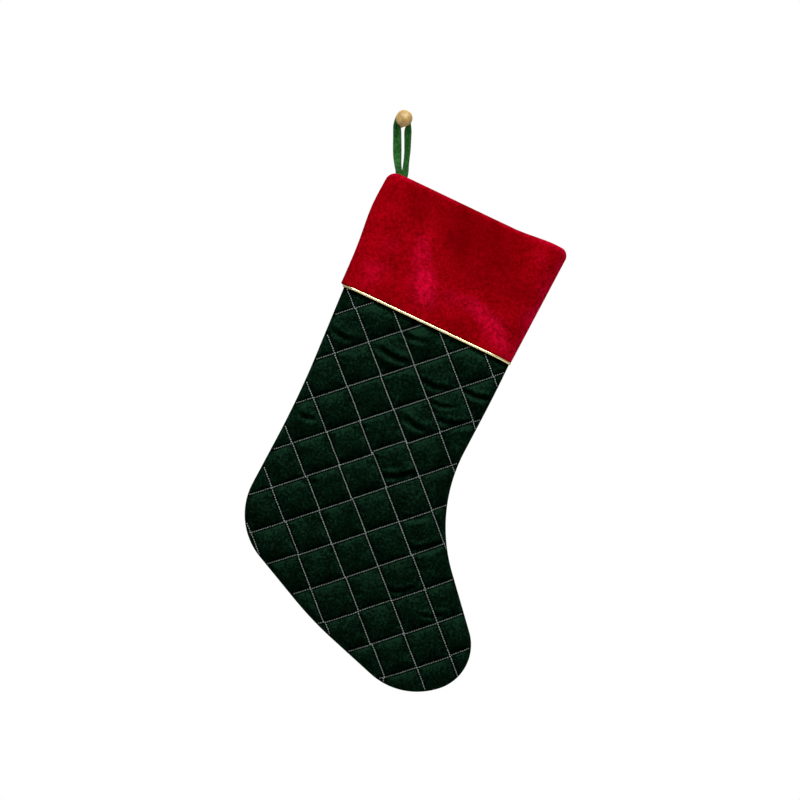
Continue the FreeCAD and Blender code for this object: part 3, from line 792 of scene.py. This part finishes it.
def legRelief(x, z, inset, side):
    # what the quilting, the creases and the tucked hem add to the pillow
    below = ease((leg["hem"] + 3 - z) / 6)
    fall, rise = quiltUv(x, z, side)
    puff = quilt["puff"] * puffHeight(fall, rise) * ease(inset / 9)
    tucked = leg["tuck"] * bump((z - leg["hem"]) / 9) * ease(inset / 12)
    crease = creaseDepth(x, z) if side == "front" else creaseDepth(165 - x, z - 8)
    return below * (puff + crease * ease(inset / 8)) - tucked


# painted light and shade on the leg's pile: the relief's lean towards a light, and a shadow under the hem
leaning = {
    "step": 1.6,  # mm each way over which the relief's change is read
    "across": -0.55,  # the light's way over the flat cloth
    "up": 0.83,
    "gain": 2.4,
    "paintedHemShadow": 2.2,  # how dark the painted shadow under the cuff's hem is
}


def paintedLegLight(x, z, inset, side):
    # painted light: how far the relief leans towards a light above the heel side; and a painted shadow under
    # the cuff's hem
    step, across, up = leaning["step"], leaning["across"], leaning["up"]
    ahead, behind = ((x + k * across * step, z + k * up * step) for k in (1, -1))
    rise = legRelief(*ahead, inset, side) - legRelief(*behind, inset, side)
    paintedHemShadow = leaning["paintedHemShadow"] * ease((z - leg["hem"] + 9) / 5)
    return np.clip(-rise / (2 * step) * leaning["gain"] - paintedHemShadow, -1, 1)


def legSurface(x, z, side):
    # half depth of the outer velvet: a pillow from the seam, slow swells, quilted puffs and creases
    inset = edgeDistance(x, z)
    swell = 0.7 * np.sin(x / 31 + z / 47) * np.sin(z / 39 - x / 83 + 1) * ease(inset / 20)
    form = leg["halfDepth"] * pillow(inset, leg["edgeReach"]) + swell
    return form + leg["wall"] * 0.3 + legRelief(x, z, inset, side), inset


def legGrid(side):
    # rows run from the heel side of the outline to the toe side, at equal shares of each side's length
    heelSide = outline[:toeTip + 1]
    toeSide = outline[toeTip:][::-1]
    cuffShare = 0.165
    rows = np.concatenate([
        np.linspace(0, cuffShare, leg["cuffRows"], endpoint=False),
        np.linspace(cuffShare, 0.998, leg["rows"] - leg["cuffRows"]),
    ])

    def along(line):
        length = np.concatenate([[0], np.cumsum(np.linalg.norm(np.diff(line, axis=0), axis=1))])
        return np.stack([np.interp(rows * length[-1], length, line[:, k]) for k in range(2)], axis=-1)

    left, right = along(heelSide), along(toeSide)
    width = np.linalg.norm(right - left, axis=1)
    share = edgeSteps(width, leg["columns"], 14, 6.0) / width[:, None]
    x = left[:, :1] + share * (right - left)[:, :1]
    z = left[:, 1:] + share * (right - left)[:, 1:]
    return x, z


def seamPinch(depth):
    # the cloth turns in at the seam line
    return 0.9 * bump(depth / 1.3)


def towardsMiddle(x, z, amount):
    # moves each point of a grid along its row, away from the nearer end, by less and less up to the middle
    rowX, rowZ = x[:, -1:] - x[:, :1], z[:, -1:] - z[:, :1]
    length = np.hypot(rowX, rowZ)
    way = np.linspace(1, -1, x.shape[1]) * amount
    return x + rowX / length * way, z + rowZ / length * way


def makeLegPanel(side, material):
    # one half of the leg: velvet outside, backing inside, joined along every edge into one closed pad
    x, z = legGrid(side)
    outer, inset = legSurface(x, z, side)
    inner = (leg["halfDepth"] - leg["wall"]) * pillow(inset - 0.6, leg["edgeReach"])
    way = outwards[side]
    fall, rise = quiltUv(x, z, side)
    turnedX, turnedZ = towardsMiddle(x, z, seamPinch(outer))
    front = hang(turnedX, way * (leg["seamGap"] + outer), turnedZ)
    rearX, rearZ = towardsMiddle(x, z, 0.5)
    rear = hang(rearX, way * (leg["seamGap"] + inner), rearZ)
    points = np.concatenate([front, rear[:, ::-1]], axis=1)
    uv = np.stack([fall, rise], axis=-1)
    uv = np.concatenate([uv, uv[:, ::-1]], axis=1)
    rows, columns = points.shape[:2]
    faces = gridFaces(rows, columns, roundColumns=True)
    index = np.arange(rows * columns).reshape(rows, columns)
    half = columns // 2
    for row, flip in ((index[0], False), (index[-1], True)):
        outside, inside = row[:half], row[half:][::-1]
        cap = np.stack([outside[:-1], outside[1:], inside[1:], inside[:-1]], axis=-1)
        faces = np.concatenate([faces, cap[:, ::-1] if flip else cap])
    name = "leg" + side.capitalize()
    piece = newPiece(name, points.reshape(-1, 3), faces, material, "stocking", uv.reshape(-1, 2))
    turnOutwards(piece)
    # painted light and shade for the velvet to read
    nap = paintedLegLight(x, z, inset, side)
    placePaintedLightAndNap(piece, np.concatenate([nap, nap[:, ::-1]], axis=1))
    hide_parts(f"leg_{side}_velvet", f"leg_{side}_batting", f"leg_{side}_backing")


greenQuilted = quiltedVelvet()
for side in ("front", "back"):
    makeLegPanel(side, greenQuilted)
print("quilted leg panels are sewn")

# all but the sides in mm; a stitch's lift above the velvet is the most that it has before it sinks in
stitches = {
    "pitch": 2.6,
    "long": 1.6,
    "wide": 1.18,
    "thick": 0.85,
    "lift": 0.42,
    "riseLift": 0.32,
    "sides": 6,
}


def capsules(centre, along, outward, long, wide, thick):
    # a small rounded bar at each centre: rings of a rounded profile, with a point at each end
    profile = np.array([[-0.5, 0.0], [-0.42, 0.72], [-0.2, 1.0], [0.2, 1.0], [0.42, 0.72], [0.5, 0.0]])
    sides = stitches["sides"]
    angle = np.arange(sides) / sides * 2 * math.pi
    rings = profile[1:-1]
    local = np.stack([
        np.repeat(rings[:, 0], sides) * long,
        (rings[:, 1:] * np.cos(angle)).ravel() * wide / 2,
        (rings[:, 1:] * np.sin(angle)).ravel() * thick / 2,
    ], axis=-1)
    ends = np.array([[-0.5 * long, 0, 0], [0.5 * long, 0, 0]])
    local = np.concatenate([local, ends])
    around = np.arange(sides)
    onward = (around + 1) % sides
    belt = np.stack([around, onward, sides + onward, sides + around], axis=-1)
    quads = np.concatenate([k * sides + belt for k in range(len(rings) - 1)])
    sideFaces = np.concatenate([quads[:, [0, 1, 2]], quads[:, [0, 2, 3]]])
    startHub, endHub = len(local) - 2, len(local) - 1
    last = (len(rings) - 1) * sides
    caps = np.concatenate([
        np.stack([np.full(sides, startHub), onward, around], axis=-1),
        np.stack([np.full(sides, endHub), last + around, last + onward], axis=-1),
    ])
    faces = np.concatenate([sideFaces, caps])
    across = np.cross(outward, along)
    across /= np.linalg.norm(across, axis=1, keepdims=True)
    outward = np.cross(along, across)
    points = (centre[:, None] + local[None, :, :1] * along[:, None] + local[None, :, 1:2] * across[:, None]
              + local[None, :, 2:] * outward[:, None])
    count = len(local)
    allFaces = faces[None] + (np.arange(len(centre)) * count)[:, None, None]
    return points.reshape(-1, 3), allFaces.reshape(-1, 3)


def stitchLine(family, number, side):
    # points every half stitch along one whole line, over the puffed surface, shifted as its stretches are
    fine = np.linspace(-2, 22, 1000)
    table = shifts[side][0 if family == "fall" else 1]
    across = number + lineShift(np.full(fine.shape, number), fine, table)
    x, z = flatPlace(across, fine) if family == "fall" else flatPlace(fine, across)
    depth = legSurface(x, z, side)[0]
    step = np.sqrt(np.diff(x) ** 2 + np.diff(z) ** 2 + np.diff(depth) ** 2)
    length = np.concatenate([[0], np.cumsum(step)])
    places = np.arange(0, length[-1], stitches["pitch"] / 2)
    return np.interp(places, length, x), np.interp(places, length, z)


def makeStitches(side, litThread, shadedThread):
    # dashes on every quilting line inside the outline and below the hem, following the velvet's own surface
    random = np.random.default_rng(31 if side == "front" else 32)
    way = outwards[side]
    made = []
    for family, lift in (("fall", stitches["lift"]), ("rise", stitches["riseLift"])):
        found = []
        for number in range(-6, 20):
            x, z = stitchLine(family, number, side)
            inside = (z < leg["hem"] - 3.2) & insideOutline(x, z) & (edgeDistance(x, z) > 1.2)
            keep = inside[:-2:2] & inside[2::2]
            first, middle, last = np.s_[:-2:2], np.s_[1:-1:2], np.s_[2::2]
            places = [x[first], z[first], x[middle], z[middle], x[last], z[last]]
            found.append(np.stack(places, axis=-1)[keep])
        found = np.concatenate(found)
        x1, z1, x, z, x2, z2 = found.T
        jitter = random.normal(0, 0.07, (2, len(x)))
        x, z = x + jitter[0], z + jitter[1]
        depth = legSurface(np.stack([x1, x, x2]), np.stack([z1, z, z2]), side)[0] + leg["seamGap"]
        sunk = lift * random.uniform(0.0, 1.3, len(x))
        dash = hang(x, way * (depth[1] + sunk), z)
        along = hang(x2, way * depth[2], z2) - hang(x1, way * depth[0], z1)
        along /= np.linalg.norm(along, axis=1, keepdims=True)
        slope = surfaceSlope(x, z, side)
        lean = hang(x + slope[0], way * np.ones_like(x), z + slope[1]) - hang(x, 0 * x, z)
        lean /= np.linalg.norm(lean, axis=1, keepdims=True)
        size = [stitches[key] * mm for key in ("long", "wide", "thick")]
        made.append(capsules(dash, along, lean, *size))
    points = np.concatenate([made[0][0], made[1][0]])
    faces = np.concatenate([made[0][1], made[1][1] + len(made[0][0])])
    name = "quiltingThread" + side.capitalize()
    piece = newPiece(name, points, faces, litThread, "stocking")
    piece.data.materials.append(shadedThread)
    slots = (np.arange(len(faces)) >= len(made[0][1])).astype(np.int32)
    piece.data.polygons.foreach_set("material_index", slots)
    turnOutwards(piece)
    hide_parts(f"quilting_thread_{side}")


def insideOutline(x, z):
    # a point is inside where a level ray from it crosses the closed outline an odd number of times
    a = outline
    b = np.roll(outline, -1, axis=0)
    between = (a[:, 1] > z[:, None]) != (b[:, 1] > z[:, None])
    steep = np.where(a[:, 1] == b[:, 1], 1e-9, b[:, 1] - a[:, 1])
    cross = a[:, 0] + (z[:, None] - a[:, 1]) / steep * (b[:, 0] - a[:, 0])
    return (between & (x[:, None] < cross)).sum(axis=1) % 2 == 1


def surfaceSlope(x, z, side):
    # how the pillow leans, without its puffs: minus the change of half depth per mm along x and z
    step = 1.5

    def form(a, b):
        return leg["halfDepth"] * pillow(edgeDistance(a, b), leg["edgeReach"])

    alongX = (form(x - step, z) - form(x + step, z)) / (2 * step)
    alongZ = (form(x, z - step) - form(x, z + step)) / (2 * step)
    return alongX, alongZ


# painted light and shade: one silver thread in a lit copy for the falling lines and a shaded copy for the
# rising lines
litThread = silverThread("bright quilting thread", (0.075, 0.098, 0.086), (0.33, 0.40, 0.36), 0.45)
shadedThread = silverThread("dull quilting thread", (0.048, 0.062, 0.055), (0.20, 0.24, 0.22), 0.5)
for side in ("front", "back"):
    makeStitches(side, litThread, shadedThread)
print("quilting thread is stitched")

cuff = {
    "halfDepth": 16.9,
    "edgeReach": 26.0,
    "hem": leg["hem"],
    "rim": 6.9,
    "insideDepth": 31.0,  # how far the velvet runs down inside the mouth
    "rollRadius": 3.1,
    "cornerRound": 9.5,
    "hemFold": 1.0,
    "turnUp": 14.0,
    "cloth": 0.9,
    "seamGap": 0.12,
    "columns": 190,
    "wide": 200.0,  # about its width, over which the columns are spread
    "edge": 6.0,  # how far in from each seam the columns are closer together
    "flat": (0.220, 0.183),  # the cut panel, metres: across its crown, and edge to edge over its folds
}


def cuffLeft(z):
    # the heel-side edge bulges a little below the rim
    return -14.2 - 0.02 * (z + 120) - 3.4 * bump((z + 34) / 34)


def cuffRight(z):
    return 184.0 + 0.052 * (z + 120)


def cuffEnds(z):
    return cuffLeft(z), cuffRight(z)


def cuffShares(columns, edgeCount):
    # places across the cuff as shares of its width, and how far in from the nearer seam each is
    share = edgeSteps(cuff["wide"], columns, edgeCount, cuff["edge"])[0] / cuff["wide"]
    return share, cuff["wide"] * np.minimum(share, 1 - share)


def cuffHalfDepth(inset):
    return cuff["seamGap"] + cuff["halfDepth"] * pillow(inset, cuff["edgeReach"])


# patches on the front: paler ones where brushed pile leans to the light, partly painted light, and darker
# ones of painted shade, broadly across the top, where the strength is below 0: x, z, reach, strength
brushedAndPaintedPatches = [
    (44, -44, 13, 0.45), (50, -60, 11, 0.55), (60, -76, 10, 0.5), (66, -90, 13, 0.6),
    (74, -102, 9, 0.35), (98, -88, 12, 0.3), (118, -84, 11, 0.55), (132, -90, 10, 0.6),
    (148, -97, 11, 0.7), (160, -106, 8, 0.6), (170, -112, 7, 0.6), (16, -62, 12, 0.2),
    (8, -30, 14, 0.2), (160, -12, 14, 0.25), (14, -100, 14, 0.35), (180, -70, 12, 0.35),
    (178, -38, 11, 0.3), (40, -18, 42, -0.32), (120, -16, 42, -0.32), (120, -70, 30, -0.15),
    (21, -15, 18, -0.3), (75, -4, 18, -0.3), (110, -6, 18, -0.3), (80, -24, 20, -0.35),
    (130, -30, 18, -0.3), (84, -42, 14, -0.35), (158, -52, 18, -0.4), (110, -60, 14, -0.3),
    (30, -110, 16, -0.2), (120, -114, 16, -0.45),
]


def cuffNapAndPaintedLight(x, z):
    total = np.zeros(np.shape(x))
    for px, pz, reach, strength in brushedAndPaintedPatches:
        total += strength * bump(np.hypot(x - px, z - pz) / reach)
    return total


def cuffSwell(x, z):
    # slow swells, one slanting ridge below the middle, and a crease with two puckers near the toe-side hem
    swell = 0.6 * np.sin(x / 24 + 1) * np.sin(z / 27 + x / 60)
    ridge = (z + 48) + 0.42 * (x - 46)
    swell += 1.0 * bump(ridge / 16) * ease((x - 20) / 30) * ease((175 - x) / 25)
    crease = (z + 89.5) + 0.36 * (x - 149)
    swell += ease((x - 138) / 22) * (0.8 * bump(crease / 6 - 1.2) - 0.9 * bump(crease / 5))
    pucker = (z + 103) + 0.02 * (x - 160)
    swell += ease((x - 152) / 14) * (0.6 * bump(pucker / 3.5 - 1.2) - 0.8 * bump(pucker / 3))
    swell -= 0.7 * bump((z + 10) / 9) * ease(x / 20) * ease((170 - x) / 20)
    return swell


def makeCuffPanel(side, material):
    # a strip carried from inside the mouth over the rolled rim, down to the hem and turned up behind it
    fold, roll = cuff["hemFold"], cuff["rollRadius"]
    share, inset = cuffShares(cuff["columns"], 14)
    flatX = cuffLeft(0) + share * (cuffRight(0) - cuffLeft(0))
    drop = cuff["cornerRound"] * (1 - pillow(inset, cuff["cornerRound"]))
    top = cuff["rim"] + 3.6 * ease((flatX - 125) / 50) - drop - cuff["cloth"] / 2
    depth = cuffHalfDepth(inset)
    rollRadius = np.minimum(roll, (depth - 0.6 * cuff["seamGap"]) / 2)
    insideDepth = depth - 2 * rollRadius
    rimLevel = top - rollRadius
    z, y = [], []
    for level in np.linspace(-cuff["insideDepth"], 0, 14, endpoint=False):
        z.append(rimLevel + level)
        y.append(insideDepth)
    for angle in np.linspace(math.pi, 0, 13):
        z.append(rimLevel + rollRadius * math.sin(angle))
        y.append(insideDepth + rollRadius + rollRadius * math.cos(angle))
    outsideRows = 88
    for level in np.linspace(0, 1, outsideRows)[1:]:
        z.append(rimLevel + level * (cuff["hem"] + fold - rimLevel))
        y.append(depth)
    rollStart, outsideStart = 14, 27
    turnedIn = np.minimum(fold, depth * 0.45)
    for angle in np.linspace(0, math.pi, 7)[1:]:
        z.append(cuff["hem"] + fold - fold * math.sin(angle) + 0 * depth)
        y.append(depth - turnedIn + turnedIn * math.cos(angle))
    for level in np.linspace(0, 1, 6)[1:]:
        z.append(cuff["hem"] + fold + level * cuff["turnUp"] + 0 * depth)
        y.append(depth - 2 * turnedIn)
    z, y = np.stack(z), np.stack(y)
    left, right = cuffEnds(z)
    x = left + share * (right - left)
    mirrored = x if side == "front" else 170 - x
    held = np.zeros(len(z))
    held[rollStart:outsideStart] = np.linspace(0.2, 1, outsideStart - rollStart)
    held[outsideStart:] = 1
    calm = ease(inset / 16) * held[:, None] * ease((z - cuff["hem"]) / 9 + 0.15)
    y = y + cuffSwell(mirrored, z) * calm
    middle = np.where(share < 0.5, 1.0, -1.0) * seamPinch(y - cuff["seamGap"])
    way = outwards[side]
    points = hang(x + middle, way * y, z)
    uv = np.stack([x, z], axis=-1)
    name = "cuff" + side.capitalize()
    faces = gridFaces(*z.shape)
    piece = newPiece(name, points.reshape(-1, 3), faces, material, "stocking", uv.reshape(-1, 2))
    # painted highlights: the pile is painted pale along the rolled rim, where light catches it, and beside
    # the toe side's seam
    rim = 0.55 * bump((z - rimLevel - 1.5) / 2.2) * held[:, None]
    toeEdgeHighlight = 0.6 * bump(inset / 6) * (share > 0.5) * held[:, None]
    placePaintedLightAndNap(piece, np.clip(cuffNapAndPaintedLight(mirrored, z) + rim + toeEdgeHighlight, -1, 1))
    thicken(piece, cuff["cloth"])
    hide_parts(f"cuff_{side}")


def makeFacingPanel(side, material):
    # a plain band between the cuff's velvet and the leg, from just under the rim to the hem's turned edge
    share, inset = cuffShares(90, 12)
    z = np.linspace(-10, cuff["hem"] + 1.5, 40)[:, None] + 0 * share
    left, right = cuffEnds(z)
    x = left + 0.7 + share * (right - left - 1.4)
    y = np.maximum(cuffHalfDepth(inset) - 2 * cuff["hemFold"] - 0.75, 0.7) + 0 * z
    way = outwards[side]
    name = "cuffFacing" + side.capitalize()
    uv = np.stack([x, z], axis=-1).reshape(-1, 2)
    piece = newPiece(name, hang(x, way * y, z).reshape(-1, 3), gridFaces(*z.shape), material, "stocking", uv)
    thicken(piece, 0.4)
    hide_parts(f"cuff_facing_{side}")


redVelvet = cuffVelvet()
redWeave = woven("red facing weave", (0.30, 0.006, 0.014), 0.7)
for side in ("front", "back"):
    makeCuffPanel(side, redVelvet)
    makeFacingPanel(side, redWeave)
print("cuff is folded over the mouth")

piping = {"radius": 1.55, "core": 1.0, "below": 1.45, "heelInset": 3.0, "sides": 16}


def hemPath(level, depthLoss):
    # once round the cuff at one level: across the front, round the toe side, back behind, round the heel side
    share, inset = cuffShares(cuff["columns"], 14)
    left, right = cuffEnds(level)
    left, right = left + piping["heelInset"] + 0.6 * depthLoss, right - 0.6 * depthLoss
    x = left + share * (right - left)
    y = cuffHalfDepth(inset) - cuff["seamGap"] - depthLoss * pillow(inset, 6.0)
    line = np.concatenate([hang(x, -y, level), hang(x, y, level)[::-1][1:-1]])
    closing = np.concatenate([line, line[:1]])
    return evenly(closing, 620)[:-1]


def makePiping(name, node, radius, material):
    path = hemPath(cuff["hem"] - piping["below"], 1.1)
    upward = hang(0, 0, 1.0) - hang(0, 0, 0.0)
    side = np.broadcast_to(upward, path.shape)
    section = ring(piping["sides"], 2 * radius * mm, 2 * radius * mm)
    points, faces, uv = sweep(path, section, side, closed=True)
    piece = turnOutwards(newPiece(name, points, faces, material, "stocking", uv))
    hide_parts(node)


makePiping("pipingCover", "piping_cover", piping["radius"], goldFoil())
cottonCord = woven("cotton cord", (0.80, 0.76, 0.66), 0.8)
makePiping("pipingCore", "piping_core", piping["core"], cottonCord)
print("piping is laid along the hem")

lining = {"gap": 0.35, "cloth": 0.35, "top": 3.0}


def makeLiningPanel(side, material):
    # a satin bag just inside the leg's backing, coarser than the leg
    x, z = legGrid(side)
    x, z = x[::4, ::2], z[::4, ::2]
    inset = edgeDistance(x, z)
    depth = (leg["halfDepth"] - leg["wall"] - lining["gap"]) * pillow(inset - 1.6, leg["edgeReach"])
    x, z = towardsMiddle(x, z, 1.6)
    way = outwards[side]
    name = "lining" + side.capitalize()
    uv = np.stack([x, z], axis=-1).reshape(-1, 2)
    points = hang(x, way * (leg["seamGap"] + np.maximum(depth - 0.35, 0.05)), z).reshape(-1, 3)
    piece = newPiece(name, points, gridFaces(*z.shape), material, "stocking", uv)
    thicken(piece, lining["cloth"])
    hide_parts(f"lining_{side}")


satin = woven("green lining satin", (0.010, 0.050, 0.026), 0.45, roughness=0.5, specular=0.25)
for side in ("front", "back"):
    makeLiningPanel(side, satin)
print("lining hangs inside the leg")

strap = {
    # from one sewn end up over the peg's neck and down to the other: world x, z from the peg's axis, mm,
    # then the degrees that the strap's width turns away from the peg's direction, and its width
    "route": [
        (-17.6, -93.0, 80, 8.2), (-13.6, -83.0, 74, 8.2), (-8.4, -70.0, 62, 8.4), (-4.9, -60.0, 56, 8.6),
        (-3.9, -54.0, 56, 8.8), (-4.8, -47.0, 58, 9.2), (-5.4, -38.0, 64, 9.8), (-5.5, -28.0, 68, 9.9),
        (-5.5, -18.0, 67, 10.0), (-5.7, -9.0, 63, 9.9), (-6.9, -1.0, 20, 8.8), (-5.0, 4.6, 0, 8.6),
        (0.0, 6.6, 0, 8.6), (5.0, 4.5, 0, 8.6), (6.7, -2.0, 16, 8.8), (5.9, -10.0, 46, 9.2),
        (5.6, -20.0, 42, 9.0), (5.3, -31.0, 38, 8.8), (4.5, -40.0, 36, 8.6), (3.7, -47.0, 42, 8.2),
        (2.9, -54.0, 50, 8.2), (1.4, -61.0, 54, 8.0), (-1.6, -72.0, 62, 8.0), (-6.0, -84.0, 74, 8.0),
        (-9.6, -93.0, 80, 8.2),
    ],
    "thick": 2.5,
    "steps": 260,
    "sides": 28,
    "follows": (0.044, 0.068),  # depth under the peg where the strap leaves the loop and joins the stocking
}


def makeStrap(material):
    # a rounded flat band swept along its route, its width turning as it hangs, with a shallow groove
    route = np.array(strap["route"], dtype=float)
    line = smoothLine(route, strap["steps"])
    path = np.stack([line[:, 0], np.full(len(line), loopSeam[1] / mm), line[:, 1]], axis=-1) * mm
    tangent = tangentsOf(path, False)
    depthWay = np.array([0.0, 1.0, 0.0])
    sideways = np.cross(tangent, depthWay)
    turn = -np.radians(line[:, 2])[:, None]
    side = np.cos(turn) * depthWay + np.sin(turn) * sideways
    shape = ring(strap["sides"], 1.0, 1.0, square=2.8)
    wave = 1 + 0.05 * np.sin(np.arange(len(line)) / 7.0) + 0.04 * np.sin(np.arange(len(line)) / 17.0 + 2)
    wide = (line[:, 3] * wave)[:, None] * shape[None, :, 0] * mm
    groove = 1 - 0.22 * bump(shape[:, 0] / 0.10)
    thick = strap["thick"] * shape[:, 1] * groove * mm
    section = np.stack([wide, np.broadcast_to(thick, wide.shape)], axis=-1)
    points, faces, uv = sweep(path, section, side)
    piece = turnOutwards(newPiece("hangingStrap", points, faces, material, None, uv))
    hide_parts("hanging_loop", "loop_tail")
    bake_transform(piece)


def makeBarTack(material):
    # a close zigzag through both strap ends and the lining's corner, one side and the other
    turns = 9
    count = 2 * turns + 1
    x = np.where(np.arange(count) % 2, 3.4, -12.4)
    z = np.linspace(-19.5, -13.5, count)
    made = []
    for way in (-1, 1):
        corners = hang(x, way * (2.1 + 0 * x), z)
        line = smoothLine(corners, 40 * turns)
        side = np.broadcast_to(np.array([0.0, 1.0, 0.0]), line.shape)
        made.append(sweep(line, ring(6, 0.6 * mm, 0.6 * mm), side))
    points = np.concatenate([part[0] for part in made])
    faces = np.concatenate([made[0][1], made[1][1] + len(made[0][0])])
    piece = turnOutwards(newPiece("barTack", points, faces, material, "stocking"))
    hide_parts("loop_bar_tack")


strapVelvet = plainVelvet(
    "green strap velvet", (0.0070, 0.036, 0.0060), (0.0190, 0.084, 0.0170), (0.036, 0.145, 0.036),
    0.05, (0.3, 0.9, 0.3), clump=2.4, nap=14.0)
makeStrap(strapVelvet)
greenThread, tree, shader = newMaterial("green sewing thread", 0.7, specular=0.3)
colourIn(tree, shader, ramp(tree, noise(tree, coordinates(tree, "Object"), 0.8), [
    (0.3, (0.008, 0.040, 0.020)), (0.7, (0.03, 0.12, 0.06)),
]))
makeBarTack(greenThread)
print("strap is looped over the peg")

wood = turnedWood()
for slot in frame["nodes"]["wooden_peg"].material_slots:
    slot.material = wood
print("peg is finished")
